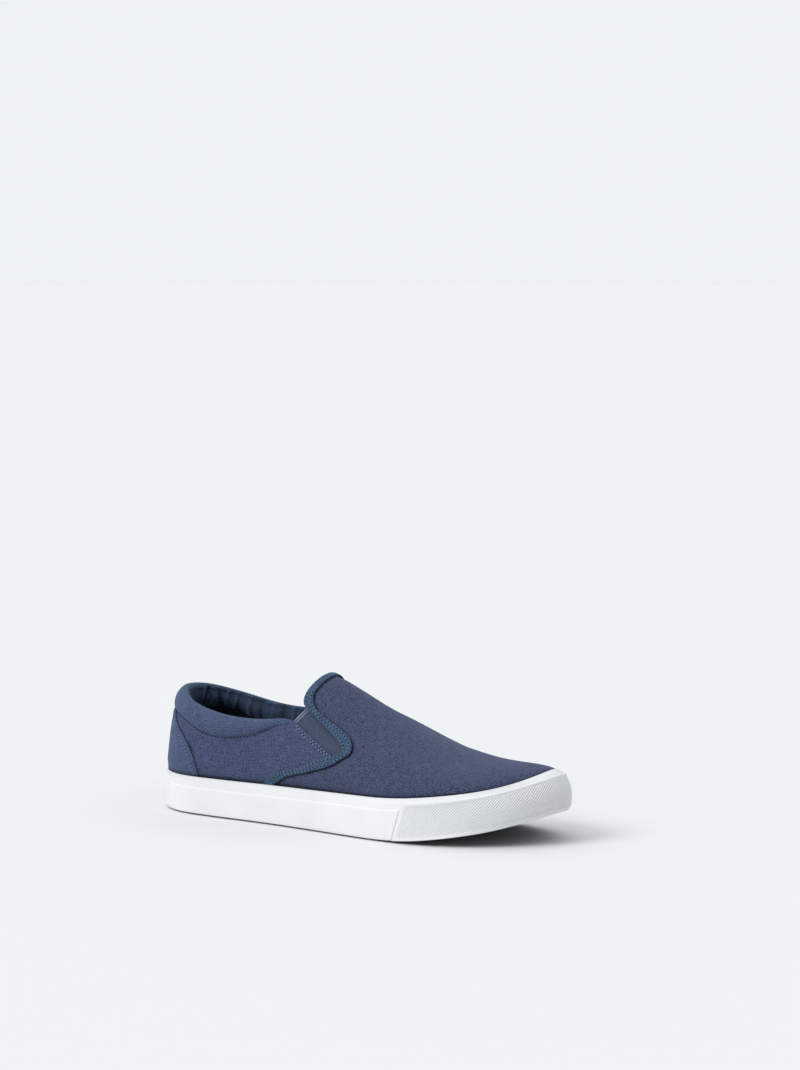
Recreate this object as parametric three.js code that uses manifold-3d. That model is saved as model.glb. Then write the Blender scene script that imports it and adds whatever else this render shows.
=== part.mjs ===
// Low canvas slip-on shoe for the right foot: vulcanised rubber sole with a foxing tape and a
// textured toe bumper, one-piece vamp with a bound edge, two elastic gores, heel counter and
// padded collar. Millimetres. +X runs to the toe, +Y to the inner side of the foot, +Z up.
// The origin is on the floor, under the middle of the sole's length and width.
import * as THREE from "three";
import { mergeVertices } from "three/addons/utils/BufferGeometryUtils.js";
import Module from "manifold-3d";

const wasm = await Module();
wasm.setup();

// Sole
const soleLength = 292;
const ballWidth = 104;
const toeSpring = 19;
const foxingHeight = 26;
const foxingLift = 1.2;
const tapeThickness = 2;
const stripThickness = 0.8;
const bumperProud = 0.3;
const edgeRound = 0.6;
const stripDrop = 6.5;
const bumperDrop = 2.4;
const bumperSlant = 8;
const outsoleThickness = 7;
const insoleThickness = 6.5;
const treadDepth = 1.6;
const treadWidth = 2.2;
const treadPitch = 13;
const treadWave = 26;
const treadMargin = 5;

// Upper
const instepHeight = 93;
const toeRake = 11;
const wall = 1.6;
const tuck = 1.2;
const collarPuff = 3;
const collarPadThickness = 4;
const goreThickness = 1.2;
const goreUnderlap = 4.5;
const bindingThickness = 1;
const counterThickness = 1;

// The gap kept between two pieces that lie on each other
const clearance = 0.3;

// Share of the length over which the sole lies flat, from the heel
const flatShare = 0.624;

// How finely the forms are divided
const ringSteps = 60;
const lineSteps = 2;
const wideReach = 200;

// Plan of the sole: fullness is the half width as a share of an ellipse of the ball's width,
// shift is how far the middle lies to the inner side, as a share of half the ball's width.
const planTable = [
  { station: 0.0, fullness: 1.33, shift: 0.0 },
  { station: 0.03, fullness: 1.27, shift: 0.0 },
  { station: 0.08, fullness: 1.18, shift: 0.0 },
  { station: 0.15, fullness: 1.01, shift: -0.01 },
  { station: 0.24, fullness: 0.855, shift: -0.03 },
  { station: 0.34, fullness: 0.765, shift: -0.06 },
  { station: 0.445, fullness: 0.76, shift: -0.09 },
  { station: 0.55, fullness: 0.835, shift: -0.09 },
  { station: 0.65, fullness: 0.967, shift: -0.06 },
  { station: 0.72, fullness: 1.07, shift: -0.025 },
  { station: 0.79, fullness: 1.15, shift: 0.015 },
  { station: 0.86, fullness: 1.2, shift: 0.06 },
  { station: 0.93, fullness: 1.22, shift: 0.1 },
  { station: 1.0, fullness: 1.22, shift: 0.14 },
];

// Top edge of the foxing: its height as a share of foxingHeight, and how far the upper stands
// in from the sole's edge there, as a share of toeRake.
const foxingTable = [
  { station: 0.0, height: 0.942, inset: 0.15 },
  { station: 0.15, height: 0.942, inset: 0.2 },
  { station: 0.45, height: 0.98, inset: 0.24 },
  { station: 0.65, height: 1.02, inset: 0.29 },
  { station: 0.8, height: 1.02, inset: 0.34 },
  { station: 0.93, height: 0.968, inset: 0.55 },
  { station: 1.0, height: 0.985, inset: 0.93 },
];

// Middle line over the instep, run on over the ankle as the last runs on: height as a share of
// instepHeight, shift to the inner side as a share of half the ball's width.
const ridgeTable = [
  { station: 0.0, height: 0.904, shift: 0.0 },
  { station: 0.15, height: 0.969, shift: 0.0 },
  { station: 0.3, height: 1.012, shift: 0.02 },
  { station: 0.41, height: 1.0, shift: 0.04 },
  { station: 0.5, height: 0.886, shift: 0.05 },
  { station: 0.6, height: 0.738, shift: 0.05 },
  { station: 0.7, height: 0.604, shift: 0.05 },
  { station: 0.8, height: 0.516, shift: 0.07 },
  { station: 0.9, height: 0.506, shift: 0.1 },
  { station: 1.0, height: 0.503, shift: 0.13 },
];

// Shape of a rib from the foxing's edge to the middle line, as the handles of a cubic:
// bulge and shoulder are shares of the rib's half width, rise is a share of its height.
const ribTable = [
  { station: 0.0, bulge: -0.13, rise: 0.62, shoulder: 0.93 },
  { station: 0.15, bulge: -0.02, rise: 0.62, shoulder: 0.9 },
  { station: 0.3, bulge: 0.02, rise: 0.55, shoulder: 0.75 },
  { station: 0.45, bulge: 0.0, rise: 0.5, shoulder: 0.55 },
  { station: 0.6, bulge: 0.01, rise: 0.5, shoulder: 0.5 },
  { station: 0.75, bulge: 0.02, rise: 0.55, shoulder: 0.55 },
  { station: 0.88, bulge: 0.02, rise: 0.6, shoulder: 0.6 },
  { station: 1.0, bulge: 0.0, rise: 0.6, shoulder: 0.62 },
];

// The ribs fan out round the heel and the toe: where their tops begin and end on the middle
// line, as shares of the length.
const heelFan = 0.13;
const toeFan = 0.17;

// Lines on the side of the upper. A point is its station along the sole and its rise, the share
// of the way from the foxing's edge up to the middle line.
const topline = [
  { station: -0.02, rise: 0.885 },
  { station: 0.05, rise: 0.875 },
  { station: 0.095, rise: 0.79 },
  { station: 0.145, rise: 0.705 },
  { station: 0.195, rise: 0.643 },
  { station: 0.242, rise: 0.608 },
  { station: 0.286, rise: 0.594 },
  { station: 0.328, rise: 0.595 },
  { station: 0.37, rise: 0.608 },
  { station: 0.388, rise: 0.605 },
  { station: 0.402, rise: 0.588 },
];
const collarSeam = [
  { station: -0.02, rise: 0.66 },
  { station: 0.06, rise: 0.63 },
  { station: 0.1, rise: 0.572 },
  { station: 0.136, rise: 0.498 },
  { station: 0.171, rise: 0.439 },
  { station: 0.212, rise: 0.413 },
  { station: 0.249, rise: 0.412 },
  { station: 0.291, rise: 0.436 },
  { station: 0.333, rise: 0.491 },
  { station: 0.372, rise: 0.56 },
];
const counterEdge = [
  { station: -0.02, rise: 0.665 },
  { station: 0.052, rise: 0.65 },
  { station: 0.09, rise: 0.5 },
  { station: 0.115, rise: 0.385 },
  { station: 0.141, rise: 0.173 },
  { station: 0.163, rise: -0.12 },
];
const goreRear = [
  { station: 0.402, rise: 0.588 },
  { station: 0.513, rise: 0.404 },
];
const goreFront = [
  { station: 0.513, rise: 0.404 },
  { station: 0.53, rise: 0.43 },
  { station: 0.54, rise: 0.49 },
  { station: 0.535, rise: 0.545 },
  { station: 0.515, rise: 0.6 },
  { station: 0.478, rise: 0.655 },
  { station: 0.439, rise: 0.71 },
  { station: 0.42, rise: 0.745 },
  { station: 0.41, rise: 0.8 },
  { station: 0.409, rise: 0.87 },
  { station: 0.413, rise: 0.94 },
  { station: 0.416, rise: 1.04 },
];
const goreTop = [
  { station: 0.43, rise: 0.75 },
  { station: 0.388, rise: 0.532 },
];
const bindingOuter = [
  { station: 0.36, rise: -0.12 },
  { station: 0.37, rise: 0.0 },
  { station: 0.396, rise: 0.089 },
  { station: 0.434, rise: 0.139 },
  { station: 0.506, rise: 0.267 },
  { station: 0.543, rise: 0.409 },
  { station: 0.559, rise: 0.53 },
  { station: 0.553, rise: 0.625 },
  { station: 0.53, rise: 0.678 },
  { station: 0.491, rise: 0.709 },
  { station: 0.452, rise: 0.74 },
  { station: 0.432, rise: 0.792 },
  { station: 0.425, rise: 0.867 },
  { station: 0.428, rise: 0.95 },
  { station: 0.431, rise: 1.04 },
];
const bindingTail = [
  { station: 0.333, rise: -0.12 },
  { station: 0.342, rise: 0.0 },
  { station: 0.36, rise: 0.06 },
  { station: 0.388, rise: 0.13 },
  { station: 0.431, rise: 0.197 },
  { station: 0.509, rise: 0.377 },
];

// Where the bumper begins at floor level, as a station
const bumperStart = 0.692;

// A natural cubic spline through one column of a table.
function column(table, name) {
  const xs = table.map((row) => row.station);
  const ys = table.map((row) => row[name]);
  const last = xs.length - 1;
  const bend = new Array(last + 1).fill(0);
  const pivot = new Array(last + 1).fill(0);
  for (let i = 1; i < last; i++) {
    const before = xs[i] - xs[i - 1];
    const after = xs[i + 1] - xs[i];
    const share = before / (before + after);
    const divisor = share * bend[i - 1] + 2;
    const turn = (ys[i + 1] - ys[i]) / after - (ys[i] - ys[i - 1]) / before;
    bend[i] = (share - 1) / divisor;
    pivot[i] = ((6 * turn) / (before + after) - share * pivot[i - 1]) / divisor;
  }
  for (let i = last - 1; i >= 0; i--) pivot[i] += bend[i] * pivot[i + 1];
  return (station) => {
    const x = Math.min(Math.max(station, xs[0]), xs[last]);
    let i = 0;
    while (i < last - 1 && x > xs[i + 1]) i++;
    const step = xs[i + 1] - xs[i];
    const a = (xs[i + 1] - x) / step;
    const b = (x - xs[i]) / step;
    const curve = (a ** 3 - a) * pivot[i] + (b ** 3 - b) * pivot[i + 1];
    return a * ys[i] + b * ys[i + 1] + (curve * step ** 2) / 6;
  };
}

const halfBall = ballWidth / 2;
const planFullness = column(planTable, "fullness");
const planShift = column(planTable, "shift");
const foxingRise = column(foxingTable, "height");
const foxingInset = column(foxingTable, "inset");
const ridgeRise = column(ridgeTable, "height");
const ridgeShift = column(ridgeTable, "shift");
const ribBulge = column(ribTable, "bulge");
const ribRise = column(ribTable, "rise");
const ribShoulder = column(ribTable, "shoulder");

const mix = (a, b, share) => a + (b - a) * share;
const clamp01 = (x) => Math.min(Math.max(x, 0), 1);
const smooth = (x) => clamp01(x) ** 2 * (3 - 2 * clamp01(x));
const cubic = (p0, p1, p2, p3, t) =>
  (1 - t) ** 3 * p0 + 3 * (1 - t) ** 2 * t * p1 + 3 * (1 - t) * t ** 2 * p2 + t ** 3 * p3;

// The station reached at an angle round the sole: 0 at the back of the heel, pi at the toe.
// Angles up to pi run along the outer side, the rest come back along the inner side.
const stationAt = (angle) => (1 - Math.cos(angle)) / 2;

// Height of the sole's underside above the floor
function underside(x) {
  const lift = Math.max(x / soleLength - flatShare, 0) / (1 - flatShare);
  return toeSpring * lift ** 2;
}

const foxingTop = (x) => foxingHeight * foxingRise(x / soleLength);
const ridgeHeight = (x) => instepHeight * ridgeRise(x / soleLength);

// The sole's outline in plan, moved in by an inset
function outline(angle, inset = 0) {
  const at = (a) => {
    const station = stationAt(a);
    return {
      x: soleLength * station,
      y: halfBall * (planShift(station) - planFullness(station) * Math.sin(a)),
    };
  };
  const small = 1e-3;
  const here = at(angle);
  const ahead = at(angle + small);
  const behind = at(angle - small);
  const dx = ahead.x - behind.x;
  const dy = ahead.y - behind.y;
  const run = Math.hypot(dx, dy);
  return { x: here.x - (dy / run) * inset, y: here.y + (dx / run) * inset };
}

// How far the core of the sole stands in from the outer face: strip, tape and their gaps
const tapeInset = stripThickness + clearance + bumperProud;
const coreInset = tapeInset + tapeThickness + clearance;
const floorHeight = outsoleThickness + clearance;

// A smooth line on the side of the upper, in side view
function sideLine(rows) {
  const points = rows.map(({ station, rise }) => {
    const x = soleLength * station;
    const edge = underside(x) + foxingTop(x);
    return new THREE.Vector2(x, mix(edge, ridgeHeight(x), rise));
  });
  if (points.length < 3) return points;
  return new THREE.SplineCurve(points).getPoints(lineSteps * (points.length - 1));
}

// The rise of a side line at a station, for what follows the line along the surface
function riseAlong(rows) {
  return (station) => {
    const next = Math.max(1, rows.findIndex((row) => row.station >= station));
    const a = rows[next - 1];
    const b = rows[next];
    return mix(a.rise, b.rise, clamp01((station - a.station) / (b.station - a.station)));
  };
}
const toplineRise = riseAlong(topline);
const seamRise = riseAlong(collarSeam);
const collarEnd = collarSeam[collarSeam.length - 1].station;

// The padded collar swells between its seam and the topline.
function collarSwell(station, rise) {
  const low = seamRise(station);
  const share = clamp01((rise - low) / (toplineRise(station) - low));
  const fade = 1 - smooth((station - collarEnd * 0.85) / (collarEnd * 0.15));
  return collarPuff * Math.sin(Math.PI * share) ** 0.7 * fade;
}

// A point of the upper's outer surface. t runs from 0 at the foxing's edge to 1 on the middle
// line; from 0 down to -1 it runs inside the foxing to the floor of the sole.
function upperPoint(angle, t) {
  const station = stationAt(angle);
  const rim = soleLength * station;
  const edgeInset = toeRake * foxingInset(station);
  const edgeHeight = underside(rim) + foxingTop(rim);
  if (t < 0) {
    const share = 1 + t;
    const base = outline(angle, mix(coreInset, edgeInset + tuck, share ** 2));
    return new THREE.Vector3(base.x, base.y, mix(underside(rim) + floorHeight, edgeHeight, share));
  }
  const topStation = heelFan + (1 - heelFan - toeFan) * station;
  const top = { x: soleLength * topStation, y: halfBall * ridgeShift(topStation) };
  const along = cubic(1, 1 + ribBulge(station), ribShoulder(station), 0, t);
  const up = cubic(0, ribRise(station), 1, 1, t);
  const tucked = tuck * (1 - smooth(t / 0.07));
  const base = outline(angle, edgeInset + tucked);
  const x = mix(top.x, base.x, along);
  const y = mix(top.y, base.y, along);
  const span = Math.hypot(base.x - top.x, base.y - top.y);
  const swell = collarSwell(x / soleLength, up) / span;
  return new THREE.Vector3(
    x + (base.x - top.x) * swell,
    y + (base.y - top.y) * swell,
    mix(edgeHeight, ridgeHeight(x), up),
  );
}

// Outward direction of the upper's surface, evened out over the corner at the foxing's edge
const normalReach = 0.08;
function upperNormal(angle, t) {
  const small = 1e-3;
  if (t > 1 - normalReach) {
    const x = upperPoint(angle, 1).x;
    const slope = (ridgeHeight(x + 1) - ridgeHeight(x - 1)) / 2;
    return new THREE.Vector3(-slope, 0, 1).normalize();
  }
  const along = upperPoint(angle + small, t).sub(upperPoint(angle - small, t));
  const up = upperPoint(angle, t + normalReach).sub(upperPoint(angle, t - normalReach));
  if (t < -normalReach) up.set(0, 0, 1);
  return along.cross(up).normalize();
}

// A closed mesh as a solid for cutting and joining
function solidOf(geometry) {
  const bare = geometry.clone();
  bare.deleteAttribute("normal");
  bare.deleteAttribute("uv");
  const merged = mergeVertices(bare, 1e-4);
  return new wasm.Manifold(
    new wasm.Mesh({
      numProp: 3,
      vertProperties: new Float32Array(merged.attributes.position.array),
      triVerts: new Uint32Array(merged.index.array),
    }),
  );
}

// A closed form from rings stacked upwards. Both ends are zipped shut across the middle line.
function ringForm(rings) {
  const positions = [];
  const index = [];
  const count = rings[0].length;
  rings.forEach((ring) => ring.forEach((p) => positions.push(p.x, p.y, p.z)));
  const quad = (a, b, c, d) => index.push(a, b, c, a, c, d);
  for (let j = 0; j < rings.length - 1; j++) {
    for (let i = 0; i < count; i++) {
      const next = (i + 1) % count;
      quad(j * count + i, j * count + next, (j + 1) * count + next, (j + 1) * count + i);
    }
  }
  const topBase = (rings.length - 1) * count;
  for (let i = 0; i < count / 2; i++) {
    const across = (count - i) % count;
    const acrossNext = count - i - 1;
    quad(i, across, acrossNext, i + 1);
    quad(topBase + i, topBase + i + 1, topBase + acrossNext, topBase + across);
  }
  const geometry = new THREE.BufferGeometry();
  geometry.setAttribute("position", new THREE.Float32BufferAttribute(positions, 3));
  geometry.setIndex(index);
  return solidOf(withoutFlatFaces(geometry));
}

// Drops the triangles that a zipped end leaves with two corners on one point.
function withoutFlatFaces(geometry) {
  const merged = mergeVertices(geometry, 1e-4);
  const corners = merged.index.array;
  const kept = [];
  for (let i = 0; i < corners.length; i += 3) {
    const [a, b, c] = [corners[i], corners[i + 1], corners[i + 2]];
    if (a !== b && b !== c && c !== a) kept.push(a, b, c);
  }
  merged.setIndex(kept);
  return merged;
}

const ringAngles = Array.from({ length: ringSteps }, (_, i) => (i * 2 * Math.PI) / ringSteps);

// The last-shaped form of the upper, swollen by an offset. Its floor can be lowered, and a
// skirt of the floor's outline can hang below it.
const ribSteps = [-1, -0.4, -0.04, 0.04, 0.12, 0.22, 0.32, 0.4, 0.46, 0.52, 0.6, 0.72, 0.86, 1];
function upperForm(offset, { lowered = 0, skirt = 0 } = {}) {
  const rings = ribSteps.map((t) =>
    ringAngles.map((angle) => upperPoint(angle, t).addScaledVector(upperNormal(angle, t), offset)),
  );
  rings[0].forEach((p) => (p.z -= lowered));
  if (skirt > 0) rings.unshift(rings[0].map((p) => new THREE.Vector3(p.x, p.y, p.z - skirt)));
  return ringForm(rings);
}

// A solid between two offsets of the upper's surface
const cavityForm = (offset) => upperForm(offset, { lowered: outsoleThickness / 2 });
const upperShell = (outside, inside) => upperForm(outside).subtract(cavityForm(inside));

// A solid whose rows give an inset and a height above the underside, from below upwards
function soleForm(rows) {
  const rings = rows.map(({ inset, height }) =>
    ringAngles.map((angle) => {
      const station = stationAt(angle);
      const x = soleLength * station;
      const p = outline(angle, typeof inset === "function" ? inset(station) : inset);
      const lift = typeof height === "function" ? height(x) : height;
      return new THREE.Vector3(p.x, p.y, underside(x) + lift);
    }),
  );
  return ringForm(rings);
}

// A prism across the whole shoe, or over one side of it, from an outline in side view
function sidePrism(points, side = 0) {
  const shape = new THREE.Shape(points);
  const depth = side === 0 ? 2 * wideReach : wideReach;
  const geometry = new THREE.ExtrudeGeometry(shape, { depth, bevelEnabled: false });
  geometry.rotateX(Math.PI / 2);
  geometry.translate(0, side < 0 ? 0 : wideReach, 0);
  return solidOf(geometry);
}

// A line moved sideways in side view, to its left when followed from first to last
function shifted(points, distance) {
  return points.map((p, i) => {
    const ahead = points[Math.min(i + 1, points.length - 1)];
    const behind = points[Math.max(i - 1, 0)];
    const way = new THREE.Vector2().subVectors(ahead, behind).normalize();
    return new THREE.Vector2(p.x - way.y * distance, p.y + way.x * distance);
  });
}

const above = (p) => new THREE.Vector2(p.x, wideReach);
const below = (p) => new THREE.Vector2(p.x, -wideReach);

const toplineSide = sideLine(topline);
const goreRearSide = sideLine(goreRear);
const goreFrontSide = sideLine(goreFront);
const bindingOuterSide = sideLine(bindingOuter);
const bindingTailSide = sideLine(bindingTail);

// The region cut out of the upper: the foot's opening, with the gore notches below it
function openingPrism() {
  const front = shifted(goreFrontSide, -(bindingThickness + clearance));
  const edge = [...toplineSide, ...goreRearSide, ...front];
  return sidePrism([...edge, above(edge[edge.length - 1]), above(edge[0])]);
}

function upperSolid() {
  return upperShell(0, -wall).subtract(openingPrism());
}

// Elastic gores, sewn under the edges of the vamp and the quarter
function goreSolid(side) {
  const outside = -wall - clearance;
  const rear = shifted(goreRearSide, -goreUnderlap);
  const frontRows = goreFront.filter((row) => row.rise < goreTop[0].rise);
  const front = shifted(sideLine(frontRows), -goreUnderlap);
  const shape = sidePrism([...rear, ...front, ...sideLine(goreTop)], side);
  return upperShell(outside, outside - goreThickness).intersect(shape);
}

// The tape that binds the vamp's edge, folded round it along the gores and the throat
function bindingSolid() {
  const inner = [...bindingTailSide, ...goreFrontSide];
  const band = sidePrism([...inner, ...[...bindingOuterSide].reverse()]);
  const lipInner = goreFrontSide;
  const lipOuter = shifted(goreFrontSide, -bindingThickness);
  const lip = sidePrism([...lipInner, ...lipOuter.reverse()]);
  const face = upperShell(clearance + bindingThickness, clearance).intersect(band);
  const fold = upperShell(clearance + bindingThickness, -wall).intersect(lip);
  return face.add(fold);
}

function counterSolid() {
  const edge = sideLine(counterEdge);
  const region = sidePrism([...edge, below(edge[edge.length - 1]), below(edge[0])]);
  return upperShell(clearance + counterThickness, clearance).intersect(region);
}

// Foam-filled lining of the collar, from the topline down to the collar's seam
function collarPadSolid() {
  const outside = -wall - clearance;
  const seam = sideLine(collarSeam);
  const end = seam[seam.length - 1];
  const top = toplineSide.filter((p) => p.x < end.x);
  const region = sidePrism([...seam, ...[...top].reverse()]);
  return upperShell(outside, outside - collarPadThickness).intersect(region);
}

// Zigzag grooves over the whole underside
function treadCut() {
  const plate = soleForm([
    { inset: coreInset + treadMargin, height: -wideReach },
    { inset: coreInset + treadMargin, height: treadDepth },
  ]);
  const grooves = [];
  const reach = Math.ceil(halfBall / (treadWave / 2)) + 1;
  const count = Math.floor(soleLength / treadPitch);
  for (let k = 0; k <= count; k++) {
    const front = [];
    const back = [];
    for (let m = -reach; m <= reach; m++) {
      const x = k * treadPitch + (m % 2 === 0 ? 0 : treadPitch / 2);
      front.push(new THREE.Vector2(x + treadWidth / 2, (m * treadWave) / 2));
      back.push(new THREE.Vector2(x - treadWidth / 2, (m * treadWave) / 2));
    }
    const shape = new THREE.Shape([...front, ...back.reverse()]);
    const geometry = new THREE.ExtrudeGeometry(shape, { depth: wideReach, bevelEnabled: false });
    geometry.translate(0, 0, -wideReach / 2);
    grooves.push(solidOf(geometry));
  }
  return grooves.reduce((all, groove) => all.add(groove)).intersect(plate);
}

function outsoleSolid() {
  const slab = soleForm([
    { inset: coreInset + edgeRound, height: 0 },
    { inset: coreInset, height: edgeRound },
    { inset: coreInset, height: outsoleThickness },
  ]);
  return slab.subtract(treadCut());
}

function insoleSolid() {
  const board = soleForm([
    { inset: coreInset, height: floorHeight },
    { inset: coreInset, height: floorHeight + insoleThickness },
  ]);
  return board.intersect(cavityForm(-wall - clearance));
}

// A row of the tape above the strips: it turns in over the upper as it rises, by a share of
// the way from the strips' edge to the tape's own top edge.
function tapeRow(share) {
  const thicknessAtTop = tapeThickness * 0.7;
  return {
    inset: (station) => {
      const lean = toeRake * foxingInset(station) + tuck - clearance - thicknessAtTop - tapeInset;
      return tapeInset + Math.max(lean, 0) * share ** 1.4;
    },
    height: (x) => foxingTop(x) - bumperDrop * (1 - share),
  };
}

function foxingSolid() {
  const core = upperForm(clearance, { skirt: outsoleThickness * 3 });
  const envelope = soleForm([
    { inset: tapeInset + edgeRound, height: foxingLift },
    { inset: tapeInset, height: foxingLift + edgeRound },
    tapeRow(0),
    tapeRow(0.33),
    tapeRow(0.66),
    tapeRow(1),
  ]);
  return envelope.subtract(core);
}

// A strip wrapped round the outside of the tape, ending at a drop below the tape's top edge
function wrapForm(outerInset, drop) {
  const outer = soleForm([
    { inset: outerInset + edgeRound, height: foxingLift - edgeRound },
    { inset: outerInset, height: foxingLift },
    { inset: outerInset, height: (x) => foxingTop(x) - drop - edgeRound },
    { inset: outerInset + edgeRound, height: (x) => foxingTop(x) - drop },
  ]);
  const inner = soleForm([
    { inset: tapeInset - clearance, height: -wideReach },
    { inset: tapeInset - clearance, height: wideReach },
  ]);
  return outer.subtract(inner);
}

// Everything ahead of the slanted joint where the bumper begins, moved back by a gap
function aheadOfBumper(gap) {
  const joint = (z) => soleLength * bumperStart - gap + (bumperSlant * z) / foxingHeight;
  return sidePrism([
    new THREE.Vector2(joint(-wideReach), -wideReach),
    new THREE.Vector2(2 * soleLength, -wideReach),
    new THREE.Vector2(2 * soleLength, wideReach),
    new THREE.Vector2(joint(wideReach), wideReach),
  ]);
}

function bumperSolid() {
  return wrapForm(0, bumperDrop).intersect(aheadOfBumper(0));
}

function sideStripSolid() {
  return wrapForm(bumperProud, stripDrop).subtract(aheadOfBumper(clearance));
}

// What lies above the foxing, kept clear of its top edge
function clearOfFoxing(solid) {
  const block = soleForm([
    { inset: -tapeThickness, height: -wideReach },
    { inset: -tapeThickness, height: (x) => foxingTop(x) + clearance },
  ]);
  return solid.subtract(block);
}

const canvas = { color: 0x3f4a66, roughness: 0.95, metalness: 0 };
const tape = { color: 0x38495f, roughness: 0.9, metalness: 0 };
const elastic = { color: 0x3a4254, roughness: 0.85, metalness: 0 };
const lining = { color: 0x2b3848, roughness: 0.95, metalness: 0 };
const rubber = { color: 0xe9ecee, roughness: 0.6, metalness: 0 };
const soleRubber = { color: 0x1d2230, roughness: 0.8, metalness: 0 };

const shoe = new THREE.Group();

function addPiece(name, solid, finish) {
  const mesh = solid.getMesh();
  const geometry = new THREE.BufferGeometry();
  geometry.setAttribute("position", new THREE.Float32BufferAttribute(mesh.vertProperties, 3));
  geometry.setIndex([...mesh.triVerts]);
  geometry.computeVertexNormals();
  const piece = new THREE.Mesh(geometry, new THREE.MeshStandardMaterial(finish));
  piece.name = name;
  shoe.add(piece);
}

addPiece("outsole", outsoleSolid(), soleRubber);
addPiece("foxing_tape", foxingSolid(), rubber);
addPiece("side_strip", sideStripSolid(), rubber);
addPiece("toe_bumper", bumperSolid(), rubber);
addPiece("insole", insoleSolid(), lining);
addPiece("upper", upperSolid(), canvas);
addPiece("collar_pad", collarPadSolid(), lining);
addPiece("gore_outer", goreSolid(-1), elastic);
addPiece("gore_inner", goreSolid(1), elastic);
addPiece("vamp_binding", clearOfFoxing(bindingSolid()), tape);
addPiece("heel_counter", clearOfFoxing(counterSolid()), canvas);

const middle = new THREE.Box3().setFromObject(shoe).getCenter(new THREE.Vector3());
shoe.children.forEach((piece) => piece.position.set(-middle.x, -middle.y, 0));

export default shoe;
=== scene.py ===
# Dresses the slip-on shoe: canvas panels with their folds and stitches, bound vamp, elastic
# gores, padded collar, lining, footbed and rubber sole, with camera, floor and soft light.
# Surfaces are worked out in shoe millimetres: x from the back of the heel to the toe, y to the
# inner side, z up from the floor. They are moved to metres in the model's frame at the end.
import math
import random
import bmesh
import bpy
import numpy as np
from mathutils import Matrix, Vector


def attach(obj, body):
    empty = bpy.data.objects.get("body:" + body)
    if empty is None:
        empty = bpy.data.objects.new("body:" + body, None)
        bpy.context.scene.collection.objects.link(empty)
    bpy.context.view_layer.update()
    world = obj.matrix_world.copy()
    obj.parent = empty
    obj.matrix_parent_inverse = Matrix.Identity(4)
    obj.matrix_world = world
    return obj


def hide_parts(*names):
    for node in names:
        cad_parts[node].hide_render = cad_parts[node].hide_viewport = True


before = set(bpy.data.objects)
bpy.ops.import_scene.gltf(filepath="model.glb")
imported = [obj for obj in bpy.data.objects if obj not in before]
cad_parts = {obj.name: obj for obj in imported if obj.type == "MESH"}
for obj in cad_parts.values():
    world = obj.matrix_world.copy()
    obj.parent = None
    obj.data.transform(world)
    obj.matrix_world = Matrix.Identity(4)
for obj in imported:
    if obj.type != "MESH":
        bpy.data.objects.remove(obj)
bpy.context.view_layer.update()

rng = random.Random(7)

# Sole
SOLE_LENGTH = 292.0
BALL_WIDTH = 104.0
TOE_SPRING = 19.0
FOXING_HEIGHT = 26.0
FOXING_LIFT = 1.2
TAPE_THICKNESS = 2.0
STRIP_DROP = 6.5
BUMPER_DROP = 2.4
BUMPER_SLANT = 8.0
BUMPER_START = 0.692
TAPE_INSET = 1.4
CORE_INSET = 3.7
FLOOR_HEIGHT = 7.3
FLAT_SHARE = 0.624

# Upper
INSTEP_HEIGHT = 93.0
TOE_RAKE = 11.0
TUCK = 1.2
TUCK_REACH = 0.07
COLLAR_PUFF = 3.0
COLLAR_END = 0.316
COLLAR_FADE = 0.056
CLEARANCE = 0.3
HEEL_FAN = 0.13
TOE_FAN = 0.17
SHALLOW_T = -0.2

# From shoe millimetres to the model's frame
SHIFT = np.array([-146.15, 1.0193, 0.0])

# station, fullness, shift
PLAN = [
    (0, 1.33, 0), (0.03, 1.27, 0), (0.08, 1.18, 0), (0.15, 1.01, -0.01), (0.24, 0.855, -0.03),
    (0.34, 0.765, -0.06), (0.445, 0.76, -0.09), (0.55, 0.835, -0.09), (0.65, 0.967, -0.06),
    (0.72, 1.07, -0.025), (0.79, 1.15, 0.015), (0.86, 1.2, 0.06), (0.93, 1.22, 0.1),
    (1, 1.22, 0.14),
]
# station, height, inset
FOXING = [
    (0, 0.942, 0.15), (0.15, 0.942, 0.2), (0.45, 0.98, 0.24), (0.65, 1.02, 0.29),
    (0.8, 1.02, 0.34), (0.93, 0.968, 0.55), (1, 0.985, 0.93),
]
# station, height, shift
RIDGE = [
    (0, 0.904, 0), (0.15, 0.969, 0), (0.3, 1.012, 0.02), (0.41, 1, 0.04), (0.5, 0.886, 0.05),
    (0.6, 0.738, 0.05), (0.7, 0.604, 0.05), (0.8, 0.516, 0.07), (0.9, 0.506, 0.1),
    (1, 0.503, 0.13),
]
# station, bulge, rise, shoulder
RIB = [
    (0, -0.13, 0.62, 0.93), (0.15, -0.02, 0.62, 0.9), (0.3, 0.02, 0.55, 0.75),
    (0.45, 0, 0.5, 0.55), (0.6, 0.01, 0.5, 0.5), (0.75, 0.02, 0.55, 0.55),
    (0.88, 0.02, 0.6, 0.6), (1, 0, 0.6, 0.62),
]
# Lines on the side of the upper: station and rise
TOPLINE = [
    (-0.02, 0.885), (0.05, 0.875), (0.095, 0.79), (0.145, 0.705), (0.195, 0.643),
    (0.242, 0.608), (0.286, 0.594), (0.328, 0.595), (0.37, 0.608), (0.388, 0.605),
    (0.402, 0.588),
]
COLLAR_SEAM = [
    (-0.02, 0.66), (0.06, 0.63), (0.1, 0.572), (0.136, 0.498), (0.171, 0.439), (0.212, 0.413),
    (0.249, 0.412), (0.291, 0.436), (0.333, 0.491), (0.372, 0.56), (0.402, 0.588),
]
COUNTER_TOP = [(-0.02, 0.665), (0.048, 0.65)]
COUNTER_BACK = (0.003, 0.664)
COUNTER_SIDE = [(0.048, 0.65), (0.078, 0.5), (0.108, 0.375), (0.139, 0.173), (0.152, 0.0)]
GORE_REAR = [(0.513, 0.404), (0.402, 0.588)]
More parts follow.
